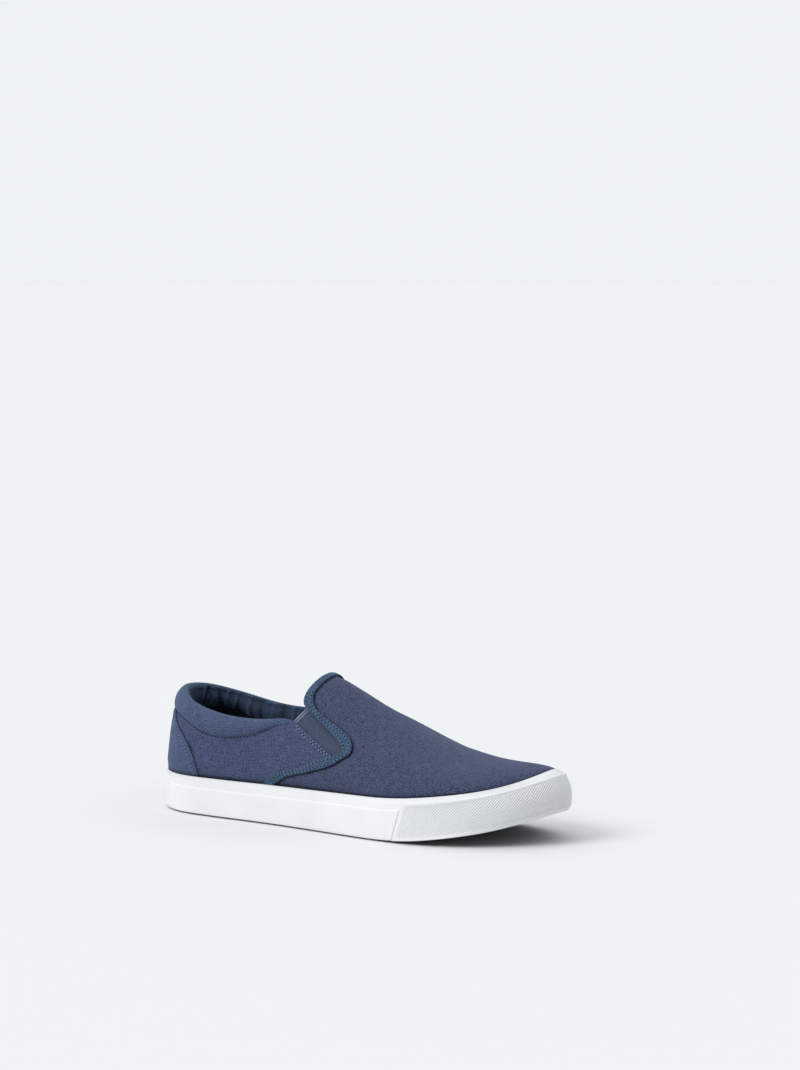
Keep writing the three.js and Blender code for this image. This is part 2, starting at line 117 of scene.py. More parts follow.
TAIL_MIDDLE = [
    (0.346, 0.0), (0.366, 0.054), (0.395, 0.117), (0.437, 0.178), (0.478, 0.258),
    (0.513, 0.352), (0.516, 0.395), (0.513, 0.404),
]
# The binding's two edges, pair by pair: inner station and rise, outer station and rise
BINDING = [
    (0.326, -0.03, 0.355, -0.03), (0.332, 0.0, 0.361, 0.0), (0.340, 0.035, 0.368, 0.026),
    (0.353, 0.07, 0.378, 0.05), (0.386, 0.137, 0.402, 0.102),
    (0.431, 0.197, 0.443, 0.152), (0.470, 0.285, 0.485, 0.225), (0.509, 0.377, 0.525, 0.325),
    (0.5285, 0.425, 0.545, 0.415), (0.540, 0.49, 0.559, 0.49), (0.535, 0.545, 0.559, 0.565),
    (0.515, 0.60, 0.545, 0.645), (0.478, 0.655, 0.500, 0.703), (0.439, 0.71, 0.452, 0.74),
    (0.42, 0.745, 0.436, 0.78), (0.41, 0.80, 0.427, 0.83), (0.409, 0.87, 0.4245, 0.88),
    (0.413, 0.94, 0.4275, 0.945), (0.416, 1.0, 0.430, 1.0),
]


def natural(table, column):
    """A natural cubic spline through one column of a table, held constant past its ends."""
    xs = np.array([row[0] for row in table], float)
    ys = np.array([row[column] for row in table], float)
    count = len(xs)
    gaps = np.diff(xs)
    system = np.eye(count)
    right = np.zeros(count)
    for i in range(1, count - 1):
        system[i, i - 1 : i + 2] = [gaps[i - 1], 2 * (gaps[i - 1] + gaps[i]), gaps[i]]
        turn = (ys[i + 1] - ys[i]) / gaps[i] - (ys[i] - ys[i - 1]) / gaps[i - 1]
        right[i] = 6 * turn
    bend = np.linalg.solve(system, right)

    def value(station):
        x = np.clip(station, xs[0], xs[-1])
        i = np.clip(np.searchsorted(xs, x, side="right") - 1, 0, count - 2)
        step = gaps[i]
        a = (xs[i + 1] - x) / step
        b = (x - xs[i]) / step
        curve = (a**3 - a) * bend[i] + (b**3 - b) * bend[i + 1]
        return a * ys[i] + b * ys[i + 1] + curve * step**2 / 6

    return value


plan_fullness, plan_shift = [natural(PLAN, k) for k in (1, 2)]
foxing_rise, foxing_inset = [natural(FOXING, k) for k in (1, 2)]
ridge_rise, ridge_shift = [natural(RIDGE, k) for k in (1, 2)]
rib_bulge, rib_rise, rib_shoulder = [natural(RIB, k) for k in (1, 2, 3)]
topline_rise = natural(TOPLINE, 1)
seam_rise = natural(COLLAR_SEAM, 1)


def mix(a, b, share):
    return a + (b - a) * share


def smooth(x):
    x = np.clip(x, 0, 1)
    return x * x * (3 - 2 * x)


def cubic(p0, p1, p2, p3, t):
    s = 1 - t
    return s**3 * p0 + 3 * s * s * t * p1 + 3 * s * t * t * p2 + t**3 * p3


def unit(v):
    return v / np.maximum(np.linalg.norm(v, axis=-1, keepdims=True), 1e-12)


def pair(a, b):
    """Two numbers for each place as one array, such as angle and t."""
    return np.stack(np.broadcast_arrays(a, b), -1)


def run_along(points, axis=0):
    """The way along a line of points, or along each line of a net, from 0 at its start."""
    steps = np.linalg.norm(np.diff(points, axis=axis), axis=-1)
    return np.concatenate([0 * np.take(steps, [0], axis), np.cumsum(steps, axis)], axis)


def read_at(wanted, run, rows):
    """Rows of numbers, read off at the wanted places of their run."""
    return np.stack([np.interp(wanted, run, column) for column in rows.T], -1)


def bisect(low, high, rounds, short):
    """The places between low and high where short stops being true."""
    for _ in range(rounds):
        middle = (low + high) / 2
        under = short(middle)
        low = np.where(under, middle, low)
        high = np.where(under, high, middle)
    return (low + high) / 2


def station_at(angle):
    return (1 - np.cos(angle)) / 2


def underside(x):
    lift = np.maximum(x / SOLE_LENGTH - FLAT_SHARE, 0) / (1 - FLAT_SHARE)
    return TOE_SPRING * lift**2


def foxing_top(x):
    return FOXING_HEIGHT * foxing_rise(x / SOLE_LENGTH)


def edge_height(x):
    return underside(x) + foxing_top(x)


def ridge_height(x):
    return INSTEP_HEIGHT * ridge_rise(x / SOLE_LENGTH)


def plan_point(angle):
    station = station_at(angle)
    y = plan_shift(station) - plan_fullness(station) * np.sin(angle)
    return pair(SOLE_LENGTH * station, BALL_WIDTH / 2 * y)


def outline(angle, inset):
    """The sole's outline in plan, moved in. Positive angles are the outer side."""
    small = 1e-3
    here = plan_point(angle)
    run = unit(plan_point(angle + small) - plan_point(angle - small))
    return pair(here[..., 0] - run[..., 1] * inset, here[..., 1] + run[..., 0] * inset)


def collar_swell(station, rise):
    low = seam_rise(station)
    share = np.clip((rise - low) / np.maximum(topline_rise(station) - low, 1e-3), 0, 1)
    fade = 1 - smooth((station - COLLAR_END) / COLLAR_FADE)
    return COLLAR_PUFF * np.sin(np.pi * share) ** 0.7 * fade


def surface(angle, t, puff=1.0):
    """A point of the upper's outer surface: t is 0 at the foxing's edge, 1 on the middle line
    over the instep and runs on down the other side; below 0 it runs down to the floor."""
    angle, t = np.broadcast_arrays(np.asarray(angle, float), np.asarray(t, float))
    angle = np.where(t > 1, -angle, angle)
    t = np.where(t > 1, 2 - t, t)
    station = station_at(angle)
    rim = SOLE_LENGTH * station
    inset = TOE_RAKE * foxing_inset(station)
    edge = edge_height(rim)
    share = 1 + t
    low_xy = outline(angle, mix(CORE_INSET, inset + TUCK, np.clip(share, 0, 1) ** 2))
    low_z = mix(underside(rim) + FLOOR_HEIGHT, edge, share)
    top_station = HEEL_FAN + (1 - HEEL_FAN - TOE_FAN) * station
    top = pair(SOLE_LENGTH * top_station, BALL_WIDTH / 2 * ridge_shift(top_station))
    upward = np.clip(t, 0, 1)
    along = cubic(1, 1 + rib_bulge(station), rib_shoulder(station), 0, upward)
    up = cubic(0, rib_rise(station), 1, 1, upward)
    out = smooth(upward / TUCK_REACH) * (1 - smooth((station - 0.78) / 0.14))
    base = outline(angle, inset + TUCK * (1 - out))
    xy = top + (base - top) * along[..., None]
    x = xy[..., 0]
    swell = puff * collar_swell(x / SOLE_LENGTH, up)
    xy = xy + unit(base - top) * swell[..., None]
    z = mix(edge, ridge_height(x), up)
    below = t < 0
    xy = np.where(below[..., None], low_xy, xy)
    z = np.where(below, low_z, z)
    return np.concatenate([xy, z[..., None]], -1)


def normal(angle, t, puff=1.0):
    """Outward direction of the upper's surface. It doesn't look across the corner at t = 0."""
    da = 2e-3
    reach = mix(0.03, 0.006, smooth((np.abs(t) - 0.02) / 0.1))
    ahead = np.where(t < 0, np.clip(-t, 1e-3, reach), reach)
    behind = np.where(t < 0, reach, np.minimum(t, reach))
    along = surface(angle + da, t, puff) - surface(angle - da, t, puff)
    up = surface(angle, t + ahead, puff) - surface(angle, t - behind, puff)
    return unit(np.cross(along, up))


def on_surface(net, puff=1.0):
    return surface(net[..., 0], net[..., 1], puff)


def skin(net, lift, puff=1.0):
    """Points lifted off the surface, for a net of angle and t."""
    lift = np.broadcast_to(lift, net.shape[:-1])
    return on_surface(net, puff) + normal(net[..., 0], net[..., 1], puff) * lift[..., None]


def climb(angle, x, z):
    """The t on the rib at an angle where the height is z, given that its x is x."""
    rim = SOLE_LENGTH * station_at(angle)
    edge = edge_height(rim)
    share = (z - edge) / (ridge_height(x) - edge)
    rise = rib_rise(station_at(angle))
    ends = (np.zeros_like(share), np.ones_like(share))
    up = bisect(*ends, 24, lambda t: cubic(0, rise, 1, 1, t) < share)
    down = (z - edge) / (edge - underside(rim) - FLOOR_HEIGHT)
    return np.where(share < 0, down, up)


def locate(x, z, side):
    """Angle and t of the surface's point that side view shows at x, z. side is 1 outside."""

    def short(angle):
        return surface(side * angle, climb(angle, x, z), 0.0)[..., 0] < x

    angle = bisect(np.zeros_like(x), np.full_like(x, np.pi), 36, short)
    return pair(side * angle, climb(angle, x, z))


def side_xz(station, rise):
    x = SOLE_LENGTH * station
    return x, mix(edge_height(x), ridge_height(x), rise)


def through(rows, count, straight=False):
    """Points along a line through rows of numbers, evenly spaced by row."""
    rows = np.array(rows, float)
    run = run_along(rows[:, :2])
    wanted = np.linspace(0, run[-1], count)
    if straight:
        return read_at(wanted, run, rows)
    return np.stack([natural(list(zip(run, column)), 1)(wanted) for column in rows.T], -1)


def evenly(path, count):
    run = run_along(on_surface(path))
    return read_at(np.linspace(0, run[-1], count), run, path)


def line_on(rows, side, count, straight=False):
    """A side line as angle and t, its points evenly spaced in space."""
    fine = through(rows, max(4 * count, 60), straight)
    return evenly(locate(*side_xz(fine[:, 0], fine[:, 1]), side), count)


def meet(angle, rise_of):
    """The t where the rib at an angle meets a side line, given as rise over station."""

    def short(t):
        p = surface(angle, t, 0.0)
        return p[..., 2] < side_xz(p[..., 0] / SOLE_LENGTH, rise_of(p[..., 0] / SOLE_LENGTH))[1]

    return bisect(np.zeros_like(angle), np.full_like(angle, 0.97), 30, short)


def coons(left, right, bottom, top):
    """A net between four lines of angle and t. The first index runs from left to right."""
    u = np.linspace(0, 1, len(bottom))[:, None, None]
    v = np.linspace(0, 1, len(left))[None, :, None]
    ruled_u = mix(left[None], right[None], u)
    ruled_v = mix(bottom[:, None], top[:, None], v)
    corners = mix(mix(left[0], right[0], u), mix(left[-1], right[-1], u), v)
    return ruled_u + ruled_v - corners


# Cloth sizes of the surface: the way round in plan and the way up a rib, in millimetres
TABLE_LOW = -0.9
TABLE_SPAN = 1.9
TABLE_A = np.linspace(0, np.pi, 161)
TABLE_T = np.linspace(TABLE_LOW, 1, 96)
table_points = surface(TABLE_A[:, None], TABLE_T[None, :], 0.0)
rib_up = run_along(table_points, 1)
rib_side = run_along(table_points[:, :, 1:], 1)
round_plan = run_along(plan_point(TABLE_A))


def read_table(table, angle, t):
    rows = len(TABLE_A) - 1
    columns = len(TABLE_T) - 1
    i = np.clip(np.abs(angle) / np.pi * rows, 0, rows - 0.001)
    j = np.clip((t - TABLE_LOW) / TABLE_SPAN * columns, 0, columns - 0.001)
    i0 = i.astype(int)
    j0 = j.astype(int)
    first = mix(table[i0, j0], table[i0, j0 + 1], j - j0)
    second = mix(table[i0 + 1, j0], table[i0 + 1, j0 + 1], j - j0)
    return mix(first, second, i - i0)


def way_round(angle):
    return np.interp(angle, TABLE_A, round_plan)


def wrap_uv(net):
    """Cloth coordinates round the heel and sides: the way round, and the way up."""
    angle = net[..., 0]
    return pair(way_round(np.abs(angle)) * np.sign(angle), read_table(rib_up, angle, net[..., 1]))


def top_uv(net):
    """Cloth coordinates over the toe and instep: along the shoe, and out from the middle."""
    angle = net[..., 0]
    t = net[..., 1]
    full = read_table(rib_side, angle, np.ones_like(t))
    out = (full - read_table(rib_side, angle, t)) * np.sign(angle)
    return pair(on_surface(net, 0.0)[..., 0], out)


def soft_line(uv, path, depth, width, fade=0.35):
    """A soft trough, or ridge where depth is negative, along a path in cloth coordinates."""
    path = np.array(path, float)
    best = np.full(uv.shape[:-1], 1e9)
    where = np.zeros(uv.shape[:-1])
    total = len(path) - 1
    for i in range(total):
        start = path[i]
        way = path[i + 1] - start
        share = np.clip(((uv - start) @ way) / (way @ way), 0, 1)
        gap = np.linalg.norm(uv - start - share[..., None] * way, axis=-1)
        nearer = gap < best
        best = np.where(nearer, gap, best)
        where = np.where(nearer, (i + share) / total, where)
    ends = smooth(where / fade) * smooth((1 - where) / fade)
    return -depth * np.exp(-((best / width) ** 2)) * ends


# Folds of the vamp: path in (along, out from the middle), depth, width, all in millimetres
VAMP_FOLDS = [
    ([(150, 6), (163, 22), (176, 42), (186, 60)], 0.55, 6.0),
    ([(160, 2), (176, 20), (190, 38), (203, 54)], -0.5, 6.5),
    ([(176, -4), (190, 16), (205, 33), (220, 47)], 0.5, 6.0),
    ([(196, 4), (212, 18), (226, 30), (240, 40)], -0.35, 6.0),
    ([(136, 8), (150, 18), (158, 34), (172, 58)], 0.45, 5.0),
    ([(214, 2), (228, 12), (244, 22), (256, 32)], 0.3, 5.5),
    ([(152, -6), (166, -22), (178, -38), (190, -56)], 0.55, 6.0),
    ([(164, -2), (180, -20), (196, -36), (210, -50)], -0.45, 6.5),
    ([(184, -4), (200, -18), (214, -30), (232, -42)], 0.45, 6.0),
    ([(130, 3), (146, 5), (168, 3)], -0.3, 7.0),
    ([(118, 46), (128, 54), (140, 66)], 0.35, 4.0),
    ([(118, -46), (128, -54), (140, -66)], 0.35, 4.0),
    ([(236, 8), (250, 16), (262, 20)], -0.25, 6.0),
]
# Folds of the quarters: path in (way round from the heel, way up), on the outer side
QUARTER_FOLDS = [
    ([(52, 20), (58, 34), (66, 48)], 0.45, 4.5),
    ([(68, 18), (72, 30), (82, 42)], -0.4, 5.0),
    ([(88, 18), (94, 28), (98, 44)], 0.45, 5.0),
    ([(104, 18), (112, 30), (124, 42)], 0.4, 5.5),
    ([(118, 18), (130, 28), (146, 36)], -0.4, 5.0),
    ([(136, 19), (146, 25), (158, 30)], 0.3, 3.5),
    ([(60, 44), (80, 40), (104, 44)], 0.35, 5.0),
    ([(112, 46), (130, 46), (142, 42)], 0.3, 4.0),
]
# From the outer side's cloth coordinates to the inner side's folds
INNER_SCALE = (-1.04, 1)
INNER_SHIFT = (3, 0)
# Wrinkles of the lining: way round from the heel, depth and width; they run up and down
LINING_FOLDS = [
    (6, 1.0, 1.2), (12, -0.9, 1.4), (17, 1.3, 1.1), (23, 0.8, 1.5), (29, -1.0, 1.6),
    (34, 1.4, 1.1), (39, 0.9, 1.2), (46, -0.8, 1.8), (52, 1.3, 1.2), (57, 1.0, 1.1),
    (64, -0.9, 1.7), (71, 1.6, 1.1), (76, 0.9, 1.4), (84, -0.7, 2.2), (92, 1.1, 1.3),
    (101, 0.8, 1.6), (112, 0.9, 1.4), (124, 0.7, 1.6), (135, 0.6, 1.6),
]


def folds_at(table, *uvs):
    """The lift of a table's folds, laid out in each of the cloth coordinates."""
    lift = 0.0
    for path, depth, width in table:
        for uv in uvs:
            lift = lift + soft_line(uv, path, depth, width)
    return lift


def lining_folds(uv):
    lift = np.zeros(uv.shape[:-1])
    for way, depth, width in LINING_FOLDS:
        up = uv[..., 1] - 40
        lean = 0.14 * up * math.sin(2.3 * way) + 1.1 * np.sin(up / 5.5 + 1.7 * way)
        for sign, more in ((1, 0.0), (-1, 4.0)):
            gap = sign * uv[..., 0] - way - more - lean
            swell = 0.75 + 0.4 * np.sin(up / 7.0 + 3.1 * way + more)
            lift = lift + depth * swell * np.exp(-((gap / width) ** 2))
    return lift


# Meshes


def to_frame(points):
    return (np.asarray(points, float) + SHIFT) / 1000


class Builder:
    """Collects nets of points, in shoe millimetres, as one mesh."""

    def __init__(self):
        self.points = []
        self.faces = []
        self.uvs = []
        self.kinds = []
        self.painted_shades = []
        self.count = 0

    def net(self, points, uv, kind=0, flip=False, wrap_u=False, wrap_v=False, seam=0.0):
        n, m = points.shape[:2]
        index = self.count + np.arange(n * m).reshape(n, m)
        self.points.append(points.reshape(-1, 3))
        self.painted_shades.append(np.broadcast_to(seam, (n, m)).reshape(-1))
        self.count += n * m
        if wrap_u:
            index = np.concatenate([index, index[:1]], 0)
            uv = np.concatenate([uv, uv[:1]], 0)
        if wrap_v:
            index = np.concatenate([index, index[:, :1]], 1)
            uv = np.concatenate([uv, uv[:, :1]], 1)
        corners = [(0, 0), (1, 0), (1, 1), (0, 1)]
        if flip:
            corners = corners[::-1]
        rows, columns = index.shape
        quads = np.stack([index[i : rows - 1 + i, j : columns - 1 + j] for i, j in corners], -1)
        spread = np.stack([uv[i : rows - 1 + i, j : columns - 1 + j] for i, j in corners], 2)
        self.faces.append(quads.reshape(-1, 4))
        self.uvs.append(spread.reshape(-1, 4, 2))
        self.kinds.append(np.full((rows - 1) * (columns - 1), kind))

    def make(self, name, materials, slot_name, *nodes, weld=2e-5):
        """The piece in the scene. It takes the place of the nodes named. slot_name is not used."""
        mesh = bpy.data.meshes.new(name)
        points = to_frame(np.concatenate(self.points))
        faces = np.concatenate(self.faces)
        mesh.from_pydata(points.tolist(), [], faces.tolist())
        layer = mesh.uv_layers.new(name="UVMap")
        layer.data.foreach_set("uv", np.concatenate(self.uvs).reshape(-1).astype(np.float32))
        mesh.polygons.foreach_set("material_index", np.concatenate(self.kinds).astype(np.int32))
        # seam: painted shade, 0 to 1, that darkens the piece's colour in seams, grooves and gaps
        seam = mesh.attributes.new("seam", "FLOAT", "POINT")
        seam.data.foreach_set("value", np.concatenate(self.painted_shades).astype(np.float32))
        work = bmesh.new()
        work.from_mesh(mesh)
        bmesh.ops.remove_doubles(work, verts=work.verts, dist=weld)
        bmesh.ops.dissolve_degenerate(work, edges=work.edges, dist=1e-6)
        bmesh.ops.recalc_face_normals(work, faces=work.faces)
        work.to_mesh(mesh)
        work.free()
        mesh.polygons.foreach_set("use_smooth", [True] * len(mesh.polygons))
        piece = bpy.data.objects.new(name, mesh)
        bpy.context.scene.collection.objects.link(piece)
        for material in materials:
            mesh.materials.append(material)
        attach(piece, "root")
        if nodes:
            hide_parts(*nodes)
        return piece


EDGES = {
    "left": ((0, slice(None)), (1, slice(None))),
    "right": ((-1, slice(None)), (-2, slice(None))),
    "low": ((slice(None), 0), (slice(None), 1)),
    "high": ((slice(None), -1), (slice(None), -2)),
}


def slab(build, net, outer, inner, uv, closed=("left", "right", "low", "high"), seam=0.0, puff=1.0):
    """A sheet over a net of angle and t, between two lifts, with rounded edges. An edge that
    isn't closed is open, for the piece that goes on from there."""
    seam = np.broadcast_to(seam, net.shape[:-1])
    top = skin(net, outer, puff)
    bottom = skin(net, inner, puff)
    build.net(top, uv, seam=seam)
    build.net(bottom, uv, flip=True)
    for name in closed:
        edge, beside = EDGES[name]
        away = unit(top[edge] - top[beside])
        half = np.linalg.norm(top[edge] - bottom[edge], axis=-1, keepdims=True) / 2
        middle = (top[edge] + bottom[edge]) / 2
        rise = (top[edge] - bottom[edge]) / 2
        steps = []
        for turn in np.linspace(0, np.pi, 6):
            steps.append(middle + rise * np.cos(turn) + away * half * np.sin(turn))
        ring = np.stack(steps, 1)
        edge_uv = np.repeat(uv[edge][:, None], ring.shape[1], 1)
        build.net(ring, edge_uv, seam=seam[edge][:, None])


def nearness(points, line, width):
    """1 on a line of points, falling off over a width in millimetres."""
    gap = np.full(points.shape[:-1], 1e9)
    for p in line:
        gap = np.minimum(gap, np.linalg.norm(points - p, axis=-1))
    return np.exp(-((gap / width) ** 2))


# Materials


class Shader:
    """Short calls for one node material."""

    def __init__(self, name):
        self.material = bpy.data.materials.new(name)
        self.material.use_nodes = True
        self.nodes = self.material.node_tree.nodes
        self.links = self.material.node_tree.links
        self.surface = self.nodes["Principled BSDF"]

    def put(self, socket, value):
        if hasattr(value, "is_output"):
            self.links.new(value, socket)
        else:
            socket.default_value = value

    def add(self, kind, inputs=None, **settings):
        """A node with its settings, and with numbers, colours or links in its inputs."""
        node = self.nodes.new(kind)
        for key, value in settings.items():
            setattr(node, key, value)
        for key, value in (inputs or {}).items():
            self.put(node.inputs[key], value)
        return node

    def math(self, operation, a, b=0.0):
        return self.add("ShaderNodeMath", {0: a, 1: b}, operation=operation).outputs[0]

    def times(self, a, b):
        return self.math("MULTIPLY", a, b)

    def plus(self, a, b):
        return self.math("ADD", a, b)

    def wave(self, a, turn):
        return self.math("SINE", self.times(a, turn))

    def uv(self):
        vector = self.add("ShaderNodeUVMap", uv_map="UVMap").outputs[0]
        split = self.add("ShaderNodeSeparateXYZ", {0: vector})
        return vector, split.outputs[0], split.outputs[1]

    def place(self):
        return self.add("ShaderNodeTexCoord").outputs["Object"]

    def seam(self):
        return self.add("ShaderNodeAttribute", attribute_name="seam").outputs["Fac"]

    def noise(self, where, scale, detail=2.0, rough=0.5, stretch=None):
        if stretch is not None:
            where = self.add("ShaderNodeMapping", {"Vector": where, "Scale": stretch}).outputs[0]
        inputs = {"Vector": where, "Scale": scale, "Detail": detail, "Roughness": rough}
        return self.add("ShaderNodeTexNoise", inputs).outputs["Fac"]

    def blend(self, factor, a, b):
        inputs = {"Factor": factor, "A": a, "B": b}
        return self.add("ShaderNodeMix", inputs, data_type="RGBA").outputs["Result"]

    def span(self, value, low, high, to_low=0.0, to_high=1.0):
        inputs = {"From Min": low, "From Max": high, "To Min": to_low, "To Max": to_high}
        inputs["Value"] = value
        return self.add("ShaderNodeMapRange", inputs, clamp=True).outputs[0]

    def bump(self, height, distance, strength, after=None):
        inputs = {"Strength": strength, "Distance": distance, "Height": height}
        if after is not None:
            inputs["Normal"] = after
        return self.add("ShaderNodeBump", inputs).outputs[0]

    def done(self, colour, rough, relief=None, **fixed):
        inputs = {"Base Color": colour, "Roughness": rough, **fixed}
        if relief is not None:
            inputs["Normal"] = relief
        for key, value in inputs.items():
            self.put(self.surface.inputs[key.replace("_", " ")], value)
        return self.material


def rgb(red, green, blue):
    """A display colour of 0 to 255 as the shader's linear colour."""
    values = [c / 255 for c in (red, green, blue)]
    return tuple(c / 12.92 if c <= 0.04045 else ((c + 0.055) / 1.055) ** 2.4 for c in values) + (1,)


# The middle of a cloth's mottled tone, and how far from it the two colours are pure
TONE_MIDDLE = 0.55
TONE_REACH = 0.072


def cloth(name, dark, light, pitch=0.8, depth=0.00012, sheen=0.2, worn=0.15):
    """Woven cotton: two sets of threads, each a little uneven, faded where it is handled, and
    darkened by painted shade in seams, folds and gaps, as the seam attribute says."""
    s = Shader(name)
    vector, u, v = s.uv()
    turn = 2 * math.pi / pitch
    weave = s.times(s.wave(u, turn), s.wave(v, turn))
    slant = s.wave(s.plus(u, v), turn / 1.9)
    warp = s.noise(vector, 1.0, 2.0, 0.6, (1.1 / pitch, 0.16, 1))
    weft = s.noise(vector, 1.0, 2.0, 0.6, (0.16, 1.1 / pitch, 1))
    speckle = s.noise(vector, 1.5, 2.0, 0.8)
    cloud = s.noise(vector, 0.045, 3.0, 0.55)
    threads = s.plus(s.times(warp, 0.5), s.times(weft, 0.5))
    tone = s.plus(s.times(threads, 0.4), s.times(speckle, 0.7))
    tone = s.plus(tone, s.times(weave, 0.03))
    tone = s.plus(tone, s.times(slant, 0.02))
    share = s.span(tone, TONE_MIDDLE - TONE_REACH, TONE_MIDDLE + TONE_REACH)
    colour = s.blend(share, dark, light)
    colour = s.blend(s.span(cloud, 0.45, 0.75, 0.0, worn), colour, light)
    # Painted shade: the colour that the seam attribute darkens the cloth towards
    deep = tuple(0.18 * c for c in dark[:3]) + (1,)
    colour = s.blend(s.times(s.seam(), 0.9), colour, deep)
    height = s.plus(s.times(weave, 0.5), s.times(threads, 0.9))
    relief = s.bump(height, depth, 0.9, s.bump(cloud, 0.0012, 0.25))
    rough = s.span(tone, 0.3, 0.7, 0.95, 0.82)
    tint = (0.5, 0.64, 0.95, 1)
    shine = {"Sheen_Weight": sheen, "Sheen_Roughness": 0.4, "Sheen_Tint": tint}
    return s.done(colour, rough, relief, Specular_IOR_Level=0.2, **shine)


def rubber(name, colour_low, colour_high, worn, groove, scuff=0.3):
    """Matte rubber, faintly uneven, with soft scuffs, and painted shade towards the groove colour
    in grooves and recesses, as the seam attribute says.
    """
    s = Shader(name)
    where = s.place()
    cloud = s.noise(where, 28.0, 3.0, 0.55)
    grain = s.noise(where, 1600.0, 2.0, 0.6)
    marks = s.noise(where, 160.0, 4.0, 0.7, (1, 1, 3.5))
    colour = s.blend(s.span(cloud, 0.35, 0.7), colour_low, colour_high)
    colour = s.blend(s.span(marks, 0.6, 0.82, 0.0, scuff), colour, worn)
    # Painted shade: darkened towards the groove colour where the seam attribute says
    colour = s.blend(s.times(s.seam(), 0.6), colour, groove)
    relief = s.bump(grain, 0.00004, 0.5, s.bump(cloud, 0.0008, 0.2))
    rough = s.span(marks, 0.35, 0.75, 0.48, 0.66)
    return s.done(colour, rough, relief, Specular_IOR_Level=0.4)


def elastic(name, cord_pitch=1.1, cross_pitch=0.5):
    """Ribbed elastic webbing: fine raised cords along the stretch, crossed by thin threads."""
    s = Shader(name)
    vector, u, v = s.uv()
    cords = s.wave(v, 2 * math.pi / cord_pitch)
    cross = s.wave(u, 2 * math.pi / cross_pitch)
    tone = s.plus(s.times(cords, 0.16), s.noise(vector, 1.1, 2.0, 0.6))
    colour = s.blend(s.span(tone, 0.3, 0.75), rgb(42, 51, 74), rgb(88, 99, 126))
    relief = s.bump(s.plus(cords, s.times(cross, 0.3)), 0.00018, 0.9)
    shine = {"Sheen_Weight": 0.15, "Sheen_Roughness": 0.4}
    return s.done(colour, 0.82, relief, Specular_IOR_Level=0.3, **shine)


canvas_vamp = cloth("canvas_vamp", rgb(27, 33, 54), rgb(78, 85, 115))
canvas_quarter = cloth("canvas_quarter", rgb(33, 41, 67), rgb(80, 89, 121))
canvas_collar = cloth("canvas_collar", rgb(38, 49, 76), rgb(82, 96, 126))
lining_cloth = cloth(
    "lining_cloth", rgb(23, 35, 55), rgb(68, 88, 115), pitch=0.5, depth=0.00008, sheen=0.3
)
# Darker copies of the lining cloth, for the deep lining and the footbed: painted shade inside the
# shoe
painted_shade_lining = cloth("painted_shade_lining", rgb(8, 12, 20), rgb(24, 32, 46), pitch=0.5, sheen=0.05)
painted_shade_footbed = cloth("painted_shade_footbed", rgb(8, 12, 20), rgb(22, 28, 40), pitch=0.6, sheen=0.05)
tape_cloth = cloth(
    "binding_tape", rgb(26, 42, 67), rgb(77, 97, 124), pitch=0.9, depth=0.00014, worn=0.3
)
thread_pale = cloth("thread_pale", rgb(150, 164, 192), rgb(190, 200, 220), pitch=0.3)
thread_grey = cloth("thread_grey", rgb(112, 126, 156), rgb(150, 164, 192), pitch=0.3)
thread_blue = cloth("thread_blue", rgb(82, 102, 128), rgb(118, 138, 164), pitch=0.3)
# Dark thread, also used for painted shade in the stitch holes and under the binding's edge
dark_thread_and_shade = cloth("dark_thread_and_shade", rgb(12, 18, 34), rgb(24, 32, 50), pitch=0.3, sheen=0.0)
white_rubber = rubber(
    "foxing_rubber", rgb(220, 221, 223), rgb(227, 228, 230), rgb(205, 206, 207), rgb(174, 175, 180)
)
sole_rubber = rubber(
    "outsole_rubber", rgb(24, 28, 40), rgb(34, 39, 53), rgb(58, 62, 72), rgb(16, 18, 26), 0.5
)
elastic_web = elastic("elastic_web")


# Upper: quarters and heel, in one piece round the back

LOW_T = -0.06
LINING_LOW = -0.66


def drop_below(start, low):
    """The end of a panel below its line: one point inside the foxing, or a row to the floor."""
    heights = np.linspace(low, start[1], 12, endpoint=False)
    return pair(start[0], heights[:1] if low > SHALLOW_T else heights)


def quarter_net(side, low, columns=84, rows=46):
    tail = line_on(TAIL_MIDDLE, side, rows)
    rear = line_on(GORE_REAR, side, rows, straight=True)
    right = evenly(np.concatenate([drop_below(tail[0], low), tail[:-1], rear]), rows)
    bottom = pair(np.linspace(0, tail[0, 0], columns), low)
    angles = np.linspace(0, rear[-1, 0], columns)
    top = pair(angles, meet(np.abs(angles) * side, seam_rise))
    top[-1] = rear[-1]
    return coons(pair(0, np.linspace(low, top[0, 1], rows)), right, bottom, top)


def counter_line(side, count):
    upper = line_on([COUNTER_BACK, COUNTER_TOP[1]], side, count, straight=True)
    return np.concatenate([upper, line_on(COUNTER_SIDE, side, count)[1:]])


def foxing_gap_shade(net):
    """Painted shade: the dark line of shade where the canvas goes into the rubber."""
    return np.exp(-((np.maximum(net[..., 1] - 0.004, 0) / 0.014) ** 2))


quarters = Builder()
for side in (1, -1):
    net = quarter_net(side, LOW_T)
    uv = wrap_uv(net)
    folds = folds_at(QUARTER_FOLDS, uv, uv * INNER_SCALE + INNER_SHIFT)
    edge = nearness(on_surface(net), on_surface(counter_line(side, 40)), 0.9)
    # Painted shade along the foxing's edge and along the heel counter's edge
    tone = np.maximum(foxing_gap_shade(net), 0.8 * edge)
    slab(quarters, net, folds, folds - 1.0, uv, ("right", "low", "high"), tone)
quarters.make("quarters", [canvas_quarter], "canvas", "upper")

quarter_lining = Builder()
for side in (1, -1):
    net = quarter_net(side, LINING_LOW, 96, 52)
    uv = wrap_uv(net)
    deep = lining_folds(uv) * 0.6
    slab(quarter_lining, net, -1.1, -1.75 - deep, uv, ("right", "low", "high"), puff=0.0)
quarter_lining.make("quarter_lining", [painted_shade_lining], "lining_cloth")


# Padded collar: outer roll in canvas, turned over the rim into the lining

